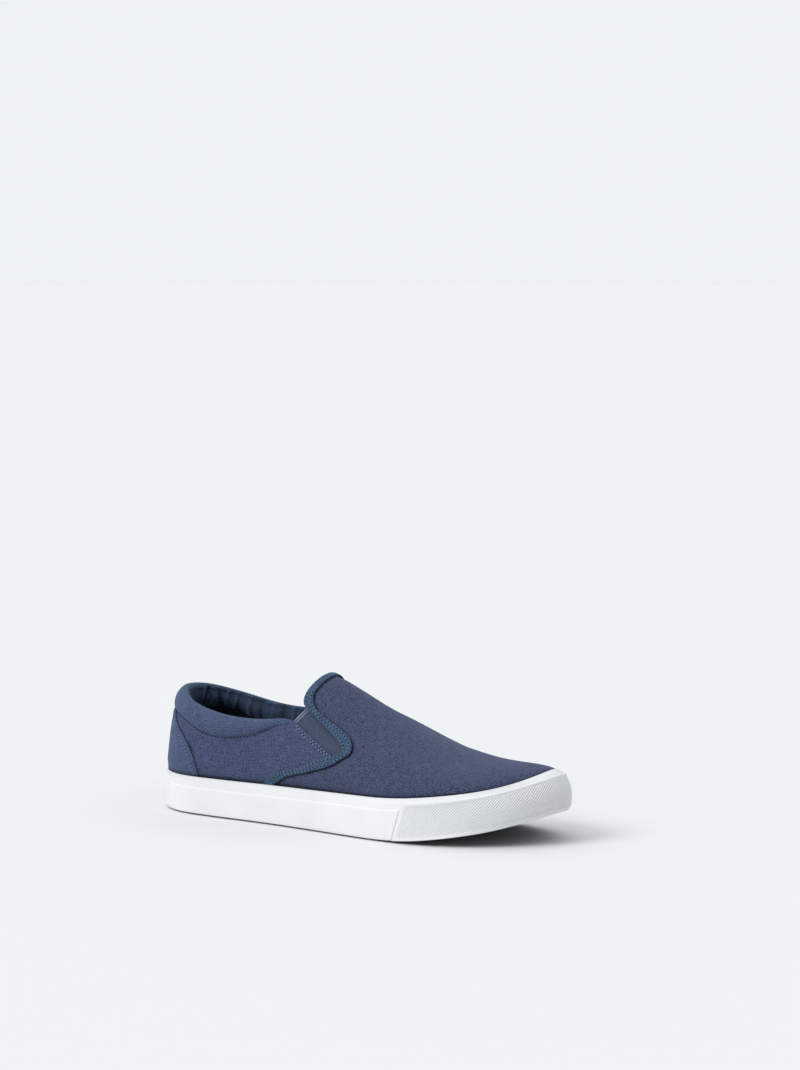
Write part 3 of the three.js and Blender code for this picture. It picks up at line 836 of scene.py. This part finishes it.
COLLAR_COLUMNS = 150
collar_tip, inner_tip = [line_on(GORE_REAR, side, 3, straight=True)[-1] for side in (1, -1)]
collar_share = np.linspace(-1, 1, 2 * COLLAR_COLUMNS - 1)
collar_angle = collar_share * np.where(collar_share > 0, collar_tip[0], -inner_tip[0])
seam_t = meet(collar_angle, seam_rise)
rim_t = np.maximum(meet(collar_angle, topline_rise), seam_t + 1e-3)
collar_height = np.linalg.norm(
    surface(collar_angle, rim_t, 0.0) - surface(collar_angle, seam_t, 0.0), axis=1
)
swollen = smooth(collar_height / 9.0)
at_heel = 1 - smooth(np.abs(collar_share) / 0.5)
pad = mix(1.7, 5.2, swollen)
pad = pad * (1 - 0.35 * smooth((np.abs(collar_share) - 0.55) / 0.45))
rim = mix(1.6, 3.2, swollen)
roll = np.minimum(rim / 2 / np.maximum(collar_height, 1e-3), 0.45)

# Across the collar, from its seam over the rim and down inside: share of the way up, and lift
collar_rows = []
for c in np.linspace(0, 1, 16):
    lift = -0.3 * np.exp(-c / 0.03) + 1.6 * at_heel * smooth((c - 0.35) / 0.6)
    collar_rows.append((c * (1 - roll), lift))
for turn in np.linspace(0, np.pi, 15)[1:-1]:
    if turn < 1.0:
        split = len(collar_rows) + 1
    lift = -rim / 2 + (rim / 2 + 0.8 * at_heel) * np.cos(turn) + 0.8 * at_heel
    collar_rows.append((1 - roll + roll * np.sin(turn), lift))
for c in np.linspace(1, -0.12, 22):
    inside = np.clip((c + 0.12) / 1.12, 0, 1)
    depth = mix(mix(1.75, pad, min(1, (inside * 2.6) ** 0.6)), rim, smooth((c - 0.5) / 0.5))
    collar_rows.append((c * (1 - roll) if c > 0 else np.full_like(roll, c), -depth))
collar_ups, collar_lifts = [np.stack(column, 1) for column in zip(*collar_rows)]
collar_t = seam_t[:, None] + (rim_t - seam_t)[:, None] * collar_ups
collar_net = pair(collar_angle[:, None], collar_t)
collar_uv = wrap_uv(collar_net)
row_number = np.arange(len(collar_rows))
wrinkles = lining_folds(collar_uv) * smooth((row_number - split) / 9) * swollen[:, None]
# Painted shade in the troughs of the lining's wrinkles, and a little over all the lining
wrinkle_shade = np.clip(0.15 - 0.75 * wrinkles, 0, 0.8)
collar_lifts = collar_lifts - wrinkles
inner_weight = smooth((row_number - 15) / 10)[None, :, None]
collar_points = mix(
    skin(collar_net, collar_lifts), skin(collar_net, collar_lifts, 0.0), inner_weight
)
collar_uv[..., 1] = run_along(collar_points, 1)
collar = Builder()
collar.net(collar_points[:, : split + 1], collar_uv[:, : split + 1])
collar.net(collar_points[:, split:], collar_uv[:, split:], 1, seam=wrinkle_shade[:, split:])
collar.net(collar_points[:, [-1, 0]], collar_uv[:, [-1, 0]], 1)
collar = collar.make("padded_collar", [canvas_collar, lining_cloth], "canvas", "collar_pad")


# Binding: the two edges, then a profile across them, folded round the vamp's edge

BINDING_STEPS = 190
FOLD_START = 62
FOLD_LENGTH = 8
STITCH_PITCH = 2.8


def binding_edges(side):
    """The way along the binding, and its inner and outer edge as angle and t."""
    rows = through(BINDING, 420)
    inner, outer = [locate(*side_xz(rows[:, k], rows[:, k + 1]), side) for k in (0, 2)]
    inner[-1, 1] = 1.0
    outer[-1, 1] = 1.0
    return run_along(on_surface((inner + outer) / 2)), inner, outer


# Share of the way across from the inner edge, and lift: free fold, and flat overlay
FOLDED = [
    (0.5, -2.1), (0.2, -2.15), (0.02, -2.1), (-0.1, -1.6), (-0.16, -0.9), (-0.17, 0.0),
    (-0.12, 0.7), (0.0, 1.12), (0.15, 1.27), (0.35, 1.33), (0.55, 1.36), (0.75, 1.34),
    (0.9, 1.25), (0.98, 1.08), (1.01, 0.85), (0.98, 0.62), (0.88, 0.5), (0.5, 0.05),
]
OVERLAID = [
    (0.5, 0.05), (0.3, 0.05), (0.12, 0.08), (0.05, 0.12), (0.0, 0.2), (-0.03, 0.4),
    (-0.02, 0.8), (0.03, 1.1), (0.15, 1.27), (0.35, 1.33), (0.55, 1.36), (0.75, 1.34),
    (0.9, 1.25), (0.98, 1.08), (1.01, 0.85), (0.98, 0.62), (0.88, 0.5), (0.55, 0.05),
]

# Rows of the profile: the two between which the tape's width is measured, and the first that
# is hidden under the tape
WIDTH_ROWS = (7, 13)
HIDDEN_FROM = 15

binding_lines = {}
halves = {}
for side in (-1, 1):
    binding_lines[side] = binding_edges(side)
    run, fine_inner, fine_outer = binding_lines[side]
    way = np.linspace(0, run[-1], BINDING_STEPS)
    inner = read_at(way, run, fine_inner)[:, None]
    outer = read_at(way, run, fine_outer)[:, None]
    folded = smooth((way - FOLD_START) / FOLD_LENGTH)[:, None]
    share, lift = mix(np.array(OVERLAID).T[:, None], np.array(FOLDED).T[:, None], folded)
    pucker = 0.06 * np.sin(way * 2 * np.pi / STITCH_PITCH)[:, None] * (lift > 1.0)
    points = skin(mix(inner, outer, share[..., None]), lift + pucker)
    width = np.linalg.norm(points[:, WIDTH_ROWS[0]] - points[:, WIDTH_ROWS[1]], axis=1)[:, None]
    along = way if side > 0 else 2 * way[-1] - way
    halves[side] = (points, pair(along[:, None], share * width))
points, uv = [np.concatenate([a, b[-2::-1]]) for a, b in zip(halves[1], halves[-1])]
binding = Builder()
binding.net(points[:, : HIDDEN_FROM + 1], uv[:, : HIDDEN_FROM + 1])
# The tape's turned-under edge in the dark thread colour: painted shade of the gap under the tape's
# outer edge
under = [HIDDEN_FROM, HIDDEN_FROM + 1, HIDDEN_FROM + 2, 0]
binding.net(points[:, under], uv[:, under], 1)
binding.make("vamp_binding_tape", [tape_cloth, dark_thread_and_shade], "binding_tape", "vamp_binding")


# Vamp: one half on each side of the middle line, from under the binding to the toe


def vamp_net(side, low, columns=120, rows=64):
    _, inner, outer = binding_lines[side]
    middle = mix(inner, outer, 0.4)
    middle = middle[middle[:, 1] > 0.0]
    start = middle[0]
    left = np.concatenate([drop_below(start, low), middle])
    left[-1, 1] = 1.0
    left = evenly(left, rows)
    toe = side * np.pi
    spread = np.linspace(0, 1, columns)
    bottom = pair(mix(start[0], toe, spread), low)
    top = pair(mix(left[-1, 0], toe, spread), 1.0)
    return coons(left, pair(toe, np.clip(left[:, 1], low, 1.0)), bottom, top)


def vamp_lift(net):
    """The vamp's folds, fading out towards the foxing."""
    return 1.5 * folds_at(VAMP_FOLDS, top_uv(net)) * smooth((net[..., 1] - 0.02) / 0.1)


vamp = Builder()
vamp_lining = Builder()
for side in (1, -1):
    net = vamp_net(side, LOW_T)
    folds = vamp_lift(net)
    near_edge = nearness(on_surface(net), on_surface(binding_lines[side][2][::5]), 1.1)
    # Painted shade beside the binding's outer edge, where the vamp is also grooved, and along the
    # foxing's edge
    tone = np.maximum(foxing_gap_shade(net), near_edge)
    slab(vamp, net, folds - 0.6 * near_edge, folds - 1.0, top_uv(net), ("left", "low"), tone)
    net = vamp_net(side, LINING_LOW, 70, 48)
    folds = vamp_lift(net)
    slab(vamp_lining, net, folds - 1.1, folds - 1.7, top_uv(net), ("left", "low"))
vamp.make("vamp", [canvas_vamp], "canvas", "upper")
vamp_lining.make("vamp_lining", [painted_shade_lining], "lining_cloth")


# Elastic gores, under the edges of the quarter and the vamp

GORE_BACK = [(0.503, 0.365), (0.389, 0.562)]
GORE_FRONT = [
    (0.526, 0.385), (0.546, 0.44), (0.552, 0.50), (0.547, 0.56), (0.524, 0.625),
    (0.486, 0.678), (0.448, 0.735), (0.427, 0.792),
]
GORE_WIDE = 24
GORE_LONG = 44
# The two selvedge lines: how far each lies from the gore's top edge, and its round section
SELVEDGE_FROM_TOP = (0.35, 2.0)
SELVEDGE_SIDES = 6
SELVEDGE_HALF_WIDTH_T = 0.21 / 62.0
SELVEDGE_HALF_HEIGHT = 0.16


def across_top(side, end):
    return line_on([GORE_BACK[end], GORE_FRONT[end]], side, GORE_WIDE, straight=True)


for side, name in ((1, "gore_outer"), (-1, "gore_inner")):
    back = line_on(GORE_BACK, side, GORE_LONG, straight=True)
    front = line_on(GORE_FRONT, side, GORE_LONG)
    net = coons(back, front, across_top(side, 0), across_top(side, -1))
    points = on_surface(net)
    v = run_along(points, 1)
    sag = -0.5 * np.sin(np.pi * np.linspace(0, 1, GORE_WIDE))[:, None]
    hem = 0.3 * smooth((2.9 - (v[:, -1:] - v)) / 0.5)
    lift = -1.75 + sag + hem
    gore = Builder()
    slab(gore, net, lift, lift - 1.1, pair(run_along(points), v))
    gore.make("elastic_" + name, [elastic_web], "elastic", name)
    lines = Builder()
    sheet = np.concatenate([net, lift[..., None]], -1)
    for from_top in SELVEDGE_FROM_TOP:
        inner_rows = range(1, GORE_WIDE - 1)
        row = np.array([read_at(v[i, -1] - from_top, v[i], sheet[i]) for i in inner_rows])
        around = []
        for turn in np.linspace(0, 2 * np.pi, SELVEDGE_SIDES + 1)[:-1]:
            path = row[:, :2] + (0, SELVEDGE_HALF_WIDTH_T * np.sin(turn))
            around.append(skin(path, row[:, 2] + SELVEDGE_HALF_HEIGHT * np.cos(turn)))
        uv = pair(np.arange(len(row))[:, None] * np.ones(SELVEDGE_SIDES), 0)
        lines.net(np.stack(around, 1), uv, wrap_v=True)
    lines.make("selvedge_" + name, [thread_pale], "elastic")


# Heel counter, over the back of both quarters


def counter_net(side, columns=44, rows=44):
    right = line_on(COUNTER_SIDE, side, rows)[::-1]
    right[0, 1] = LOW_T
    top_angles = np.linspace(0, right[-1, 0], columns)
    top = pair(top_angles, meet(top_angles, natural(COUNTER_TOP + [(0.07, 0.645)], 1)))
    top[-1] = right[-1]
    bottom = pair(np.linspace(0, right[0, 0], columns), LOW_T)
    return coons(pair(0, np.linspace(LOW_T, top[0, 1], rows)), right, bottom, top)


counter = Builder()
counter_edges = {}
for side in (1, -1):
    net = counter_net(side)
    counter_edges[side] = np.concatenate([net[-1, :], net[::-1, -1][1:]])
    # Painted shade where the counter goes into the rubber
    slab(counter, net, 1.15, 0.05, wrap_uv(net), ("right", "low", "high"), foxing_gap_shade(net))
counter.make("heel_counter_cloth", [canvas_collar], "canvas", "heel_counter")


# Rubber round the sole

ROUND_ANGLES = np.linspace(-np.pi, np.pi, 521)[:-1]


def sole_ring(angles, inset, height):
    """A ring, or part of one, round the sole. The height is over the underside."""
    z = underside(SOLE_LENGTH * station_at(angles)) + height
    return np.concatenate([outline(angles, inset), z[:, None]], -1)


def sole_uv(points):
    return pair(np.arange(len(points))[:, None] * 1.4, points[..., 2])


# How the rubber's wall is rounded round the toe, from its top and its foot: reach and depth
ROUND_TOP = (11.0, 3.6)
ROUND_FOOT = (6.0, 3.2)


def toe_round(station, height, top):
    """How far the rubber's wall draws in round the toe, towards its top and bottom edges."""
    weight = smooth((station - 0.8) / 0.2)
    upper = np.clip((height - top + ROUND_TOP[0]) / ROUND_TOP[0], 0, 1)
    lower = np.clip((ROUND_FOOT[0] - height) / ROUND_FOOT[0], 0, 1)
    return weight * (ROUND_TOP[1] * upper**1.6 + ROUND_FOOT[1] * lower**2)


def tape_row(share, out=0.0, up=0.0):
    """A row of the tape above the strips, as inset and height of the whole ring. It turns in
    over the upper as it rises."""
    station = station_at(ROUND_ANGLES)
    start = 1.0 + toe_round(station, 20.0, 20.0)
    end = TOE_RAKE * foxing_inset(station) + TUCK - CLEARANCE - TAPE_THICKNESS * 0.7
    height = foxing_top(SOLE_LENGTH * station) - BUMPER_DROP * (1 - share) + up
    return start + np.maximum(end - start, 0) * share**1.25 + out, height


def wall_row(inset, height):
    """A row of the tape's wall, drawn in at the toe."""
    top = FOXING_HEIGHT * 0.98 - BUMPER_DROP
    return TAPE_INSET + inset + toe_round(station_at(ROUND_ANGLES), height, top), height


# The tape's foot and wall: inset behind its face, and height over the underside
TAPE_WALL = [
    (2.0, FOXING_LIFT + 0.1), (0.5, FOXING_LIFT + 0.02), (0.15, FOXING_LIFT + 0.2),
    (0.0, FOXING_LIFT + 0.6), (0.0, 3.0), (0.0, 5.0), (0.0, 9.0), (0.0, 14.0), (0.0, 18.0),
]
# Its rounded top edge: inset and height from the last row
TAPE_LIP = [
    (-0.2, -0.12), (-0.05, 0.05), (0.25, 0.15), (0.65, 0.13), (0.95, 0.0), (1.1, -0.35),
    (1.15, -1.2), (1.15, -2.6),
]
tape_profile = [wall_row(*row) for row in TAPE_WALL]
tape_profile += [tape_row(share) for share in (0, 0.15, 0.33, 0.5, 0.66, 0.82, 0.93)]
tape_profile += [tape_row(1, out, up) for out, up in TAPE_LIP]
tape_points = np.stack([sole_ring(ROUND_ANGLES, *row) for row in tape_profile], 1)
# Painted shade on the tape's top band, where it turns in over the upper
lip_shade = 0.45 * smooth((np.arange(len(tape_profile)) - 8) / 3.0)[None]
tape = Builder()
tape.net(tape_points, sole_uv(tape_points), wrap_u=True, wrap_v=True, seam=lip_shade)
tape.make("foxing_tape_wrap", [white_rubber], "foxing_rubber", "foxing_tape")


def joint_angle(side, lift, gap=0.0):
    """The angle where the slanted joint crosses a height over the floor."""
    x = SOLE_LENGTH * BUMPER_START - gap + BUMPER_SLANT * lift / FOXING_HEIGHT
    return side * np.arccos(1 - 2 * x / SOLE_LENGTH)


# Rounded edges of a strip, below its first row and above its last: height and inset
STRIP_FOOT = [(-0.3, 1.2), (-0.33, 0.45), (-0.22, 0.12)]
STRIP_HEAD = [(0.22, 0.1), (0.34, 0.35), (0.36, 1.5)]


def strip_piece(inset, drop, lower, spread, count, shape=None):
    """A strip on the tape, with the depth of its grooves. spread gives the angles for each
    row's height over the floor."""
    rows = []
    grooves = []
    for share in np.linspace(0, 1, count):
        angles = spread(mix(1.0, FOXING_HEIGHT - drop, share))
        station = station_at(angles)
        low = lower + 0.35 - 0.7 * smooth((station - 0.8) / 0.12)
        high = foxing_top(SOLE_LENGTH * station) - drop - 0.35
        height = mix(low, high, share)
        groove = np.zeros_like(angles)
        if shape is not None:
            groove = shape(angles, height, high)
        rows.append((angles, inset + toe_round(station, height, high) + groove, height))
        grooves.append(groove)
    foot = [(rows[0][0], rows[0][1] + inward, rows[0][2] + up) for up, inward in STRIP_FOOT]
    head = [(rows[-1][0], rows[-1][1] + inward, rows[-1][2] + up) for up, inward in STRIP_HEAD]
    points = np.stack([sole_ring(*row) for row in foot + rows + head], 1)
    return points, np.pad(np.stack(grooves, 1), ((0, 0), (len(foot), len(head))))


def make_strip(name, node, points, seam=0.0):
    """The strip's skin, with a cap on each end."""
    build = Builder()
    build.net(points, sole_uv(points), wrap_v=True, seam=seam)
    for cap in (points[0], points[-1]):
        middle = np.repeat(cap.mean(0)[None], len(cap), 0)
        build.net(np.stack([cap, middle], 1), np.zeros((len(cap), 2, 2)))
    build.make(name, [white_rubber], "foxing_rubber", node)


JOINT_GAP = 0.2
STRIP_INSET = 0.65
BUMPER_INSET = 0.3
strip_points, _ = strip_piece(
    STRIP_INSET,
    STRIP_DROP,
    FOXING_LIFT - 0.2,
    lambda lift: np.linspace(
        joint_angle(-1, lift, JOINT_GAP), joint_angle(1, lift, JOINT_GAP), 420
    ),
    12,
)
make_strip("side_strip_wrap", "side_strip", strip_points)

RIB_PITCH = 2.05
RIB_LEAN = 1.06
RIB_DEPTH = 0.45
CROSS_PITCH = RIB_PITCH * 1.03
CROSS_LEAN = 0.98
CROSS_DEPTH = 0.22


def bumper_ribs(angles, height, high):
    """Fine slanted ribs, fading towards both edges of the bumper and its two ends."""
    turned = np.where(angles < 0, angles + 2 * np.pi, angles)
    one_side = way_round(np.minimum(turned, 2 * np.pi - turned))
    way = np.where(turned > np.pi, 2 * round_plan[-1] - one_side, one_side)
    wave = 0.5 - 0.5 * np.cos(2 * np.pi * ((way - height * RIB_LEAN) / RIB_PITCH))
    cross = 0.5 - 0.5 * np.cos(2 * np.pi * ((way + height * CROSS_LEAN) / CROSS_PITCH))
    top_margin = mix(1.4, 0.2, smooth((station_at(angles) - 0.75) / 0.2))
    fade = smooth((height - 1.4) / 2.4) * smooth((high - top_margin - height) / 0.8)
    limit = round_plan[-1] - way_round(joint_angle(1, height))
    fade = fade * smooth((limit - np.abs(way - round_plan[-1]) - 2.0) / 1.5)
    return fade * (RIB_DEPTH * wave + CROSS_DEPTH * cross)


bumper_points, rib_depth = strip_piece(
    BUMPER_INSET,
    BUMPER_DROP,
    FOXING_LIFT - 0.4,
    lambda lift: np.linspace(joint_angle(1, lift), 2 * np.pi - joint_angle(1, lift), 1000),
    66,
    bumper_ribs,
)
toe_share = smooth((bumper_points[..., 0] / SOLE_LENGTH - 0.78) / 0.2)
# Painted shade in the grooves of the ribs, strongest round the toe
rib_shade = rib_depth / (RIB_DEPTH + CROSS_DEPTH) * mix(0.35, 1.0, toe_share)
make_strip("toe_bumper_wrap", "toe_bumper", bumper_points, rib_shade)

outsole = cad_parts["outsole"]
outsole.data.materials.clear()
outsole.data.materials.append(sole_rubber)
soften = outsole.modifiers.new("soften", "BEVEL")
soften.width = 0.0004
soften.segments = 2
soften.limit_method = "ANGLE"


# Footbed, dished under the heel and ball

bed_a = np.linspace(0.02, np.pi - 0.02, 120)
bed_across = np.linspace(-1, 1, 41)
bed_outer, bed_inner = [skin(pair(side * bed_a, -0.6), -1.9) for side in (1, -1)]
bed = mix(bed_outer[:, None], bed_inner[:, None], (bed_across[None, :, None] + 1) / 2)
bed_x = bed[..., 0]
bed_rim = np.abs(bed_across)[None] ** 3
heel_cup = np.exp(-(((bed_x - 45) / 38) ** 2))
arch = np.exp(-(((bed_x - 120) / 40) ** 2)) * smooth((bed_across[None] - 0.1) / 0.8)
bed_floor = underside(bed_x) + FLOOR_HEIGHT
bed[..., 2] = bed_floor + 4.6 + bed_rim * (1.6 + 2.4 * heel_cup) + 3.0 * arch
bed_low = bed.copy()
bed_low[..., 2] = bed_floor + 0.1
bed_uv = bed[..., :2].copy()
footbed = Builder()
footbed.net(bed, bed_uv)
footbed.net(bed_low, bed_uv, flip=True)
for edge, _ in EDGES.values():
    footbed.net(np.stack([bed[edge], bed_low[edge]], 1), np.stack([bed_uv[edge]] * 2, 1))
footbed.make("footbed", [painted_shade_footbed], "lining_cloth", "insole")


# Stitches

# Pieces made of thread, and dark pieces of painted shade in the stitch holes: what thread, and in
# what slot
THREADS = {
    "binding_stitches": (thread_blue, "binding_tape"),
    "binding_holes": (dark_thread_and_shade, "binding_tape"),
    "gore_edge_stitches": (thread_grey, "canvas"),
    "collar_seam_stitches": (dark_thread_and_shade, "canvas"),
    "counter_stitches": (thread_grey, "canvas"),
    "gore_edge_holes": (dark_thread_and_shade, "canvas"),
    "counter_holes": (dark_thread_and_shade, "canvas"),
}
SEAM_PITCH = 2.6
JITTER = 0.06
HOLE_SINK = 0.78
sewn = {name: Builder() for name in THREADS}


def sew(name, path, lift, pitch, length, radius, sink, start=0.0, puff=1.0):
    """A row of short threads along a path of angle and t. sink is how deep they lie."""
    points = skin(path, lift, puff)
    normals = normal(path[:, 0], path[:, 1], puff)
    run = run_along(points)
    shares = np.linspace(-1, 1, 7)
    arch_up = np.sqrt(np.maximum(1 - shares**2, 0.0))
    thick = radius * np.maximum(arch_up, 0.25)
    for k in range(int((run[-1] - start) / pitch)):
        begin = start + k * pitch + rng.uniform(-JITTER, JITTER)
        wanted = np.linspace(begin, begin + length, 7)
        if wanted[-1] > run[-1]:
            break
        up = unit(read_at(wanted, run, normals))
        line = read_at(wanted, run, points) + up * (radius * (arch_up * 1.1 - sink))[:, None]
        ahead = unit(np.gradient(line, axis=0))
        across = unit(np.cross(ahead, up))
        over = np.cross(across, ahead)
        rings = []
        for turn in np.linspace(0, 2 * np.pi, 7)[:-1]:
            sideways = across * (thick * np.cos(turn))[:, None]
            rings.append(line + sideways + over * (thick * 0.8 * np.sin(turn))[:, None])
        uv = pair(wanted[:, None], np.linspace(0, 2 * np.pi * radius, 6)[None])
        sewn[name].net(np.stack(rings, 1), uv, wrap_v=True)


def moved_in(path, distance):
    """A path on the surface moved sideways by a distance, to its left as seen from outside."""
    points = on_surface(path)
    way = unit(np.gradient(points, axis=0))
    left = np.cross(normal(path[:, 0], path[:, 1]), way)
    step = 1e-3
    da = (on_surface(path + (step, 0)) - points) / step
    dt = (on_surface(path + (0, step)) - points) / step
    moved = path.copy()
    for i in range(len(path)):
        basis = np.stack([da[i], dt[i]], -1)
        moved[i] += np.linalg.lstsq(basis, left[i] * distance, rcond=None)[0]
    return moved


for side in (1, -1):
    run, fine_inner, fine_outer = binding_lines[side]
    for share, lift, begin in ((0.2, 1.3, 0.0), (0.74, 1.34, 1.4)):
        path = mix(fine_inner, fine_outer, share)[(run > 2) & (run < 128)]
        sew("binding_stitches", path, lift, STITCH_PITCH, 1.5, 0.28, 0.4, begin)
        # Dark pieces in the stitch holes: painted shade
        sew("binding_holes", path, lift, STITCH_PITCH, 0.75, 0.38, HOLE_SINK, begin + 1.8)
    edge = line_on(GORE_REAR, side, 120, straight=True)
    for distance, begin in ((0.9, 0.0), (2.5, 1.4)):
        path = moved_in(edge, side * distance)
        sew("gore_edge_stitches", path, 0.0, STITCH_PITCH, 1.6, 0.28, 0.2, begin)
        # Dark pieces in the stitch holes: painted shade
        sew("gore_edge_holes", path, 0.0, STITCH_PITCH, 0.65, 0.34, HOLE_SINK, begin + 1.9)
    angles = np.linspace(side * 0.12, 0.99 * collar_tip[0] * side, 260)
    path = pair(angles, meet(angles, seam_rise) - 0.006)
    sew("collar_seam_stitches", path, 0.0, SEAM_PITCH, 1.2, 0.36, 0.7, puff=0.0)
    path = moved_in(evenly(counter_edges[side], 240), side * 2.8)[4:-4]
    sew("counter_stitches", path, 1.15, SEAM_PITCH, 1.5, 0.3, 0.2)
    # Dark pieces in the stitch holes: painted shade
    sew("counter_holes", path, 1.15, SEAM_PITCH, 0.55, 0.26, HOLE_SINK, 1.8)
for name, (thread, slot_name) in THREADS.items():
    sewn[name].make(name, [thread], slot_name, weld=1e-6)


# Camera, at the photograph's place, floor and light


def put_in(name, data):
    piece = bpy.data.objects.new(name, data)
    bpy.context.scene.collection.objects.link(piece)
    return piece


def looking_down(azimuth, tilt):
    """The rotation of a camera or lamp, by degrees round from the shoe's side and down."""
    a = math.radians(azimuth)
    h = math.radians(tilt)
    way = Vector((-math.sin(a) * math.cos(h), math.cos(a) * math.cos(h), -math.sin(h)))
    return way.to_track_quat("-Z", "Y").to_euler()


camera_data = bpy.data.cameras.new("view")
camera_data.sensor_width = 36.0
camera_data.lens = 106.35
camera_data.clip_end = 60.0
camera = put_in("view", camera_data)
camera.location = (1.09315, -1.65138, 0.3618)
camera.rotation_euler = looking_down(32.769, 5.164)
bpy.context.scene.camera = camera

floor_mesh = bpy.data.meshes.new("floor")
floor_build = bmesh.new()
bmesh.ops.create_circle(floor_build, cap_ends=True, radius=30.0, segments=96)
floor_build.to_mesh(floor_mesh)
floor_build.free()
floor = put_in("floor", floor_mesh)
floor_shader = Shader("floor_paper")
floor_cloud = floor_shader.noise(floor_shader.place(), 1.2, 2.0, 0.5)
floor_colour = floor_shader.blend(floor_cloud, (0.695, 0.698, 0.70, 1), (0.705, 0.705, 0.706, 1))
floor_mesh.materials.append(floor_shader.done(floor_colour, 0.9, Specular_IOR_Level=0.1))

world = bpy.data.worlds.new("studio")
bpy.context.scene.world = world
world.use_nodes = True
background = world.node_tree.nodes["Background"]
background.inputs["Strength"].default_value = 1.0
sky = world.node_tree
direction = sky.nodes.new("ShaderNodeTexCoord")
split_sky = sky.nodes.new("ShaderNodeSeparateXYZ")
sky.links.new(direction.outputs["Generated"], split_sky.inputs[0])
ramp = sky.nodes.new("ShaderNodeValToRGB")
sky.links.new(split_sky.outputs["Z"], ramp.inputs[0])
sky.links.new(ramp.outputs[0], background.inputs["Color"])
# Brightness of the studio from the horizon up to overhead
SKY = [(0.0, 1.0), (0.11, 1.0), (0.2, 0.5), (0.42, 0.55), (0.72, 1.3), (1.0, 1.45)]
while len(ramp.color_ramp.elements) < len(SKY):
    ramp.color_ramp.elements.new(0.5)
for element, (place, level) in zip(ramp.color_ramp.elements, SKY):
    element.position = place
    element.color = (0.855 * level, 0.888 * level, 0.896 * level, 1)

key = bpy.data.lights.new("key", "SUN")
key.energy = 1.55
key.angle = math.radians(32.0)
put_in("key", key).rotation_euler = looking_down(-28.0, 40.0)

bpy.context.scene.view_settings.view_transform = "Standard"
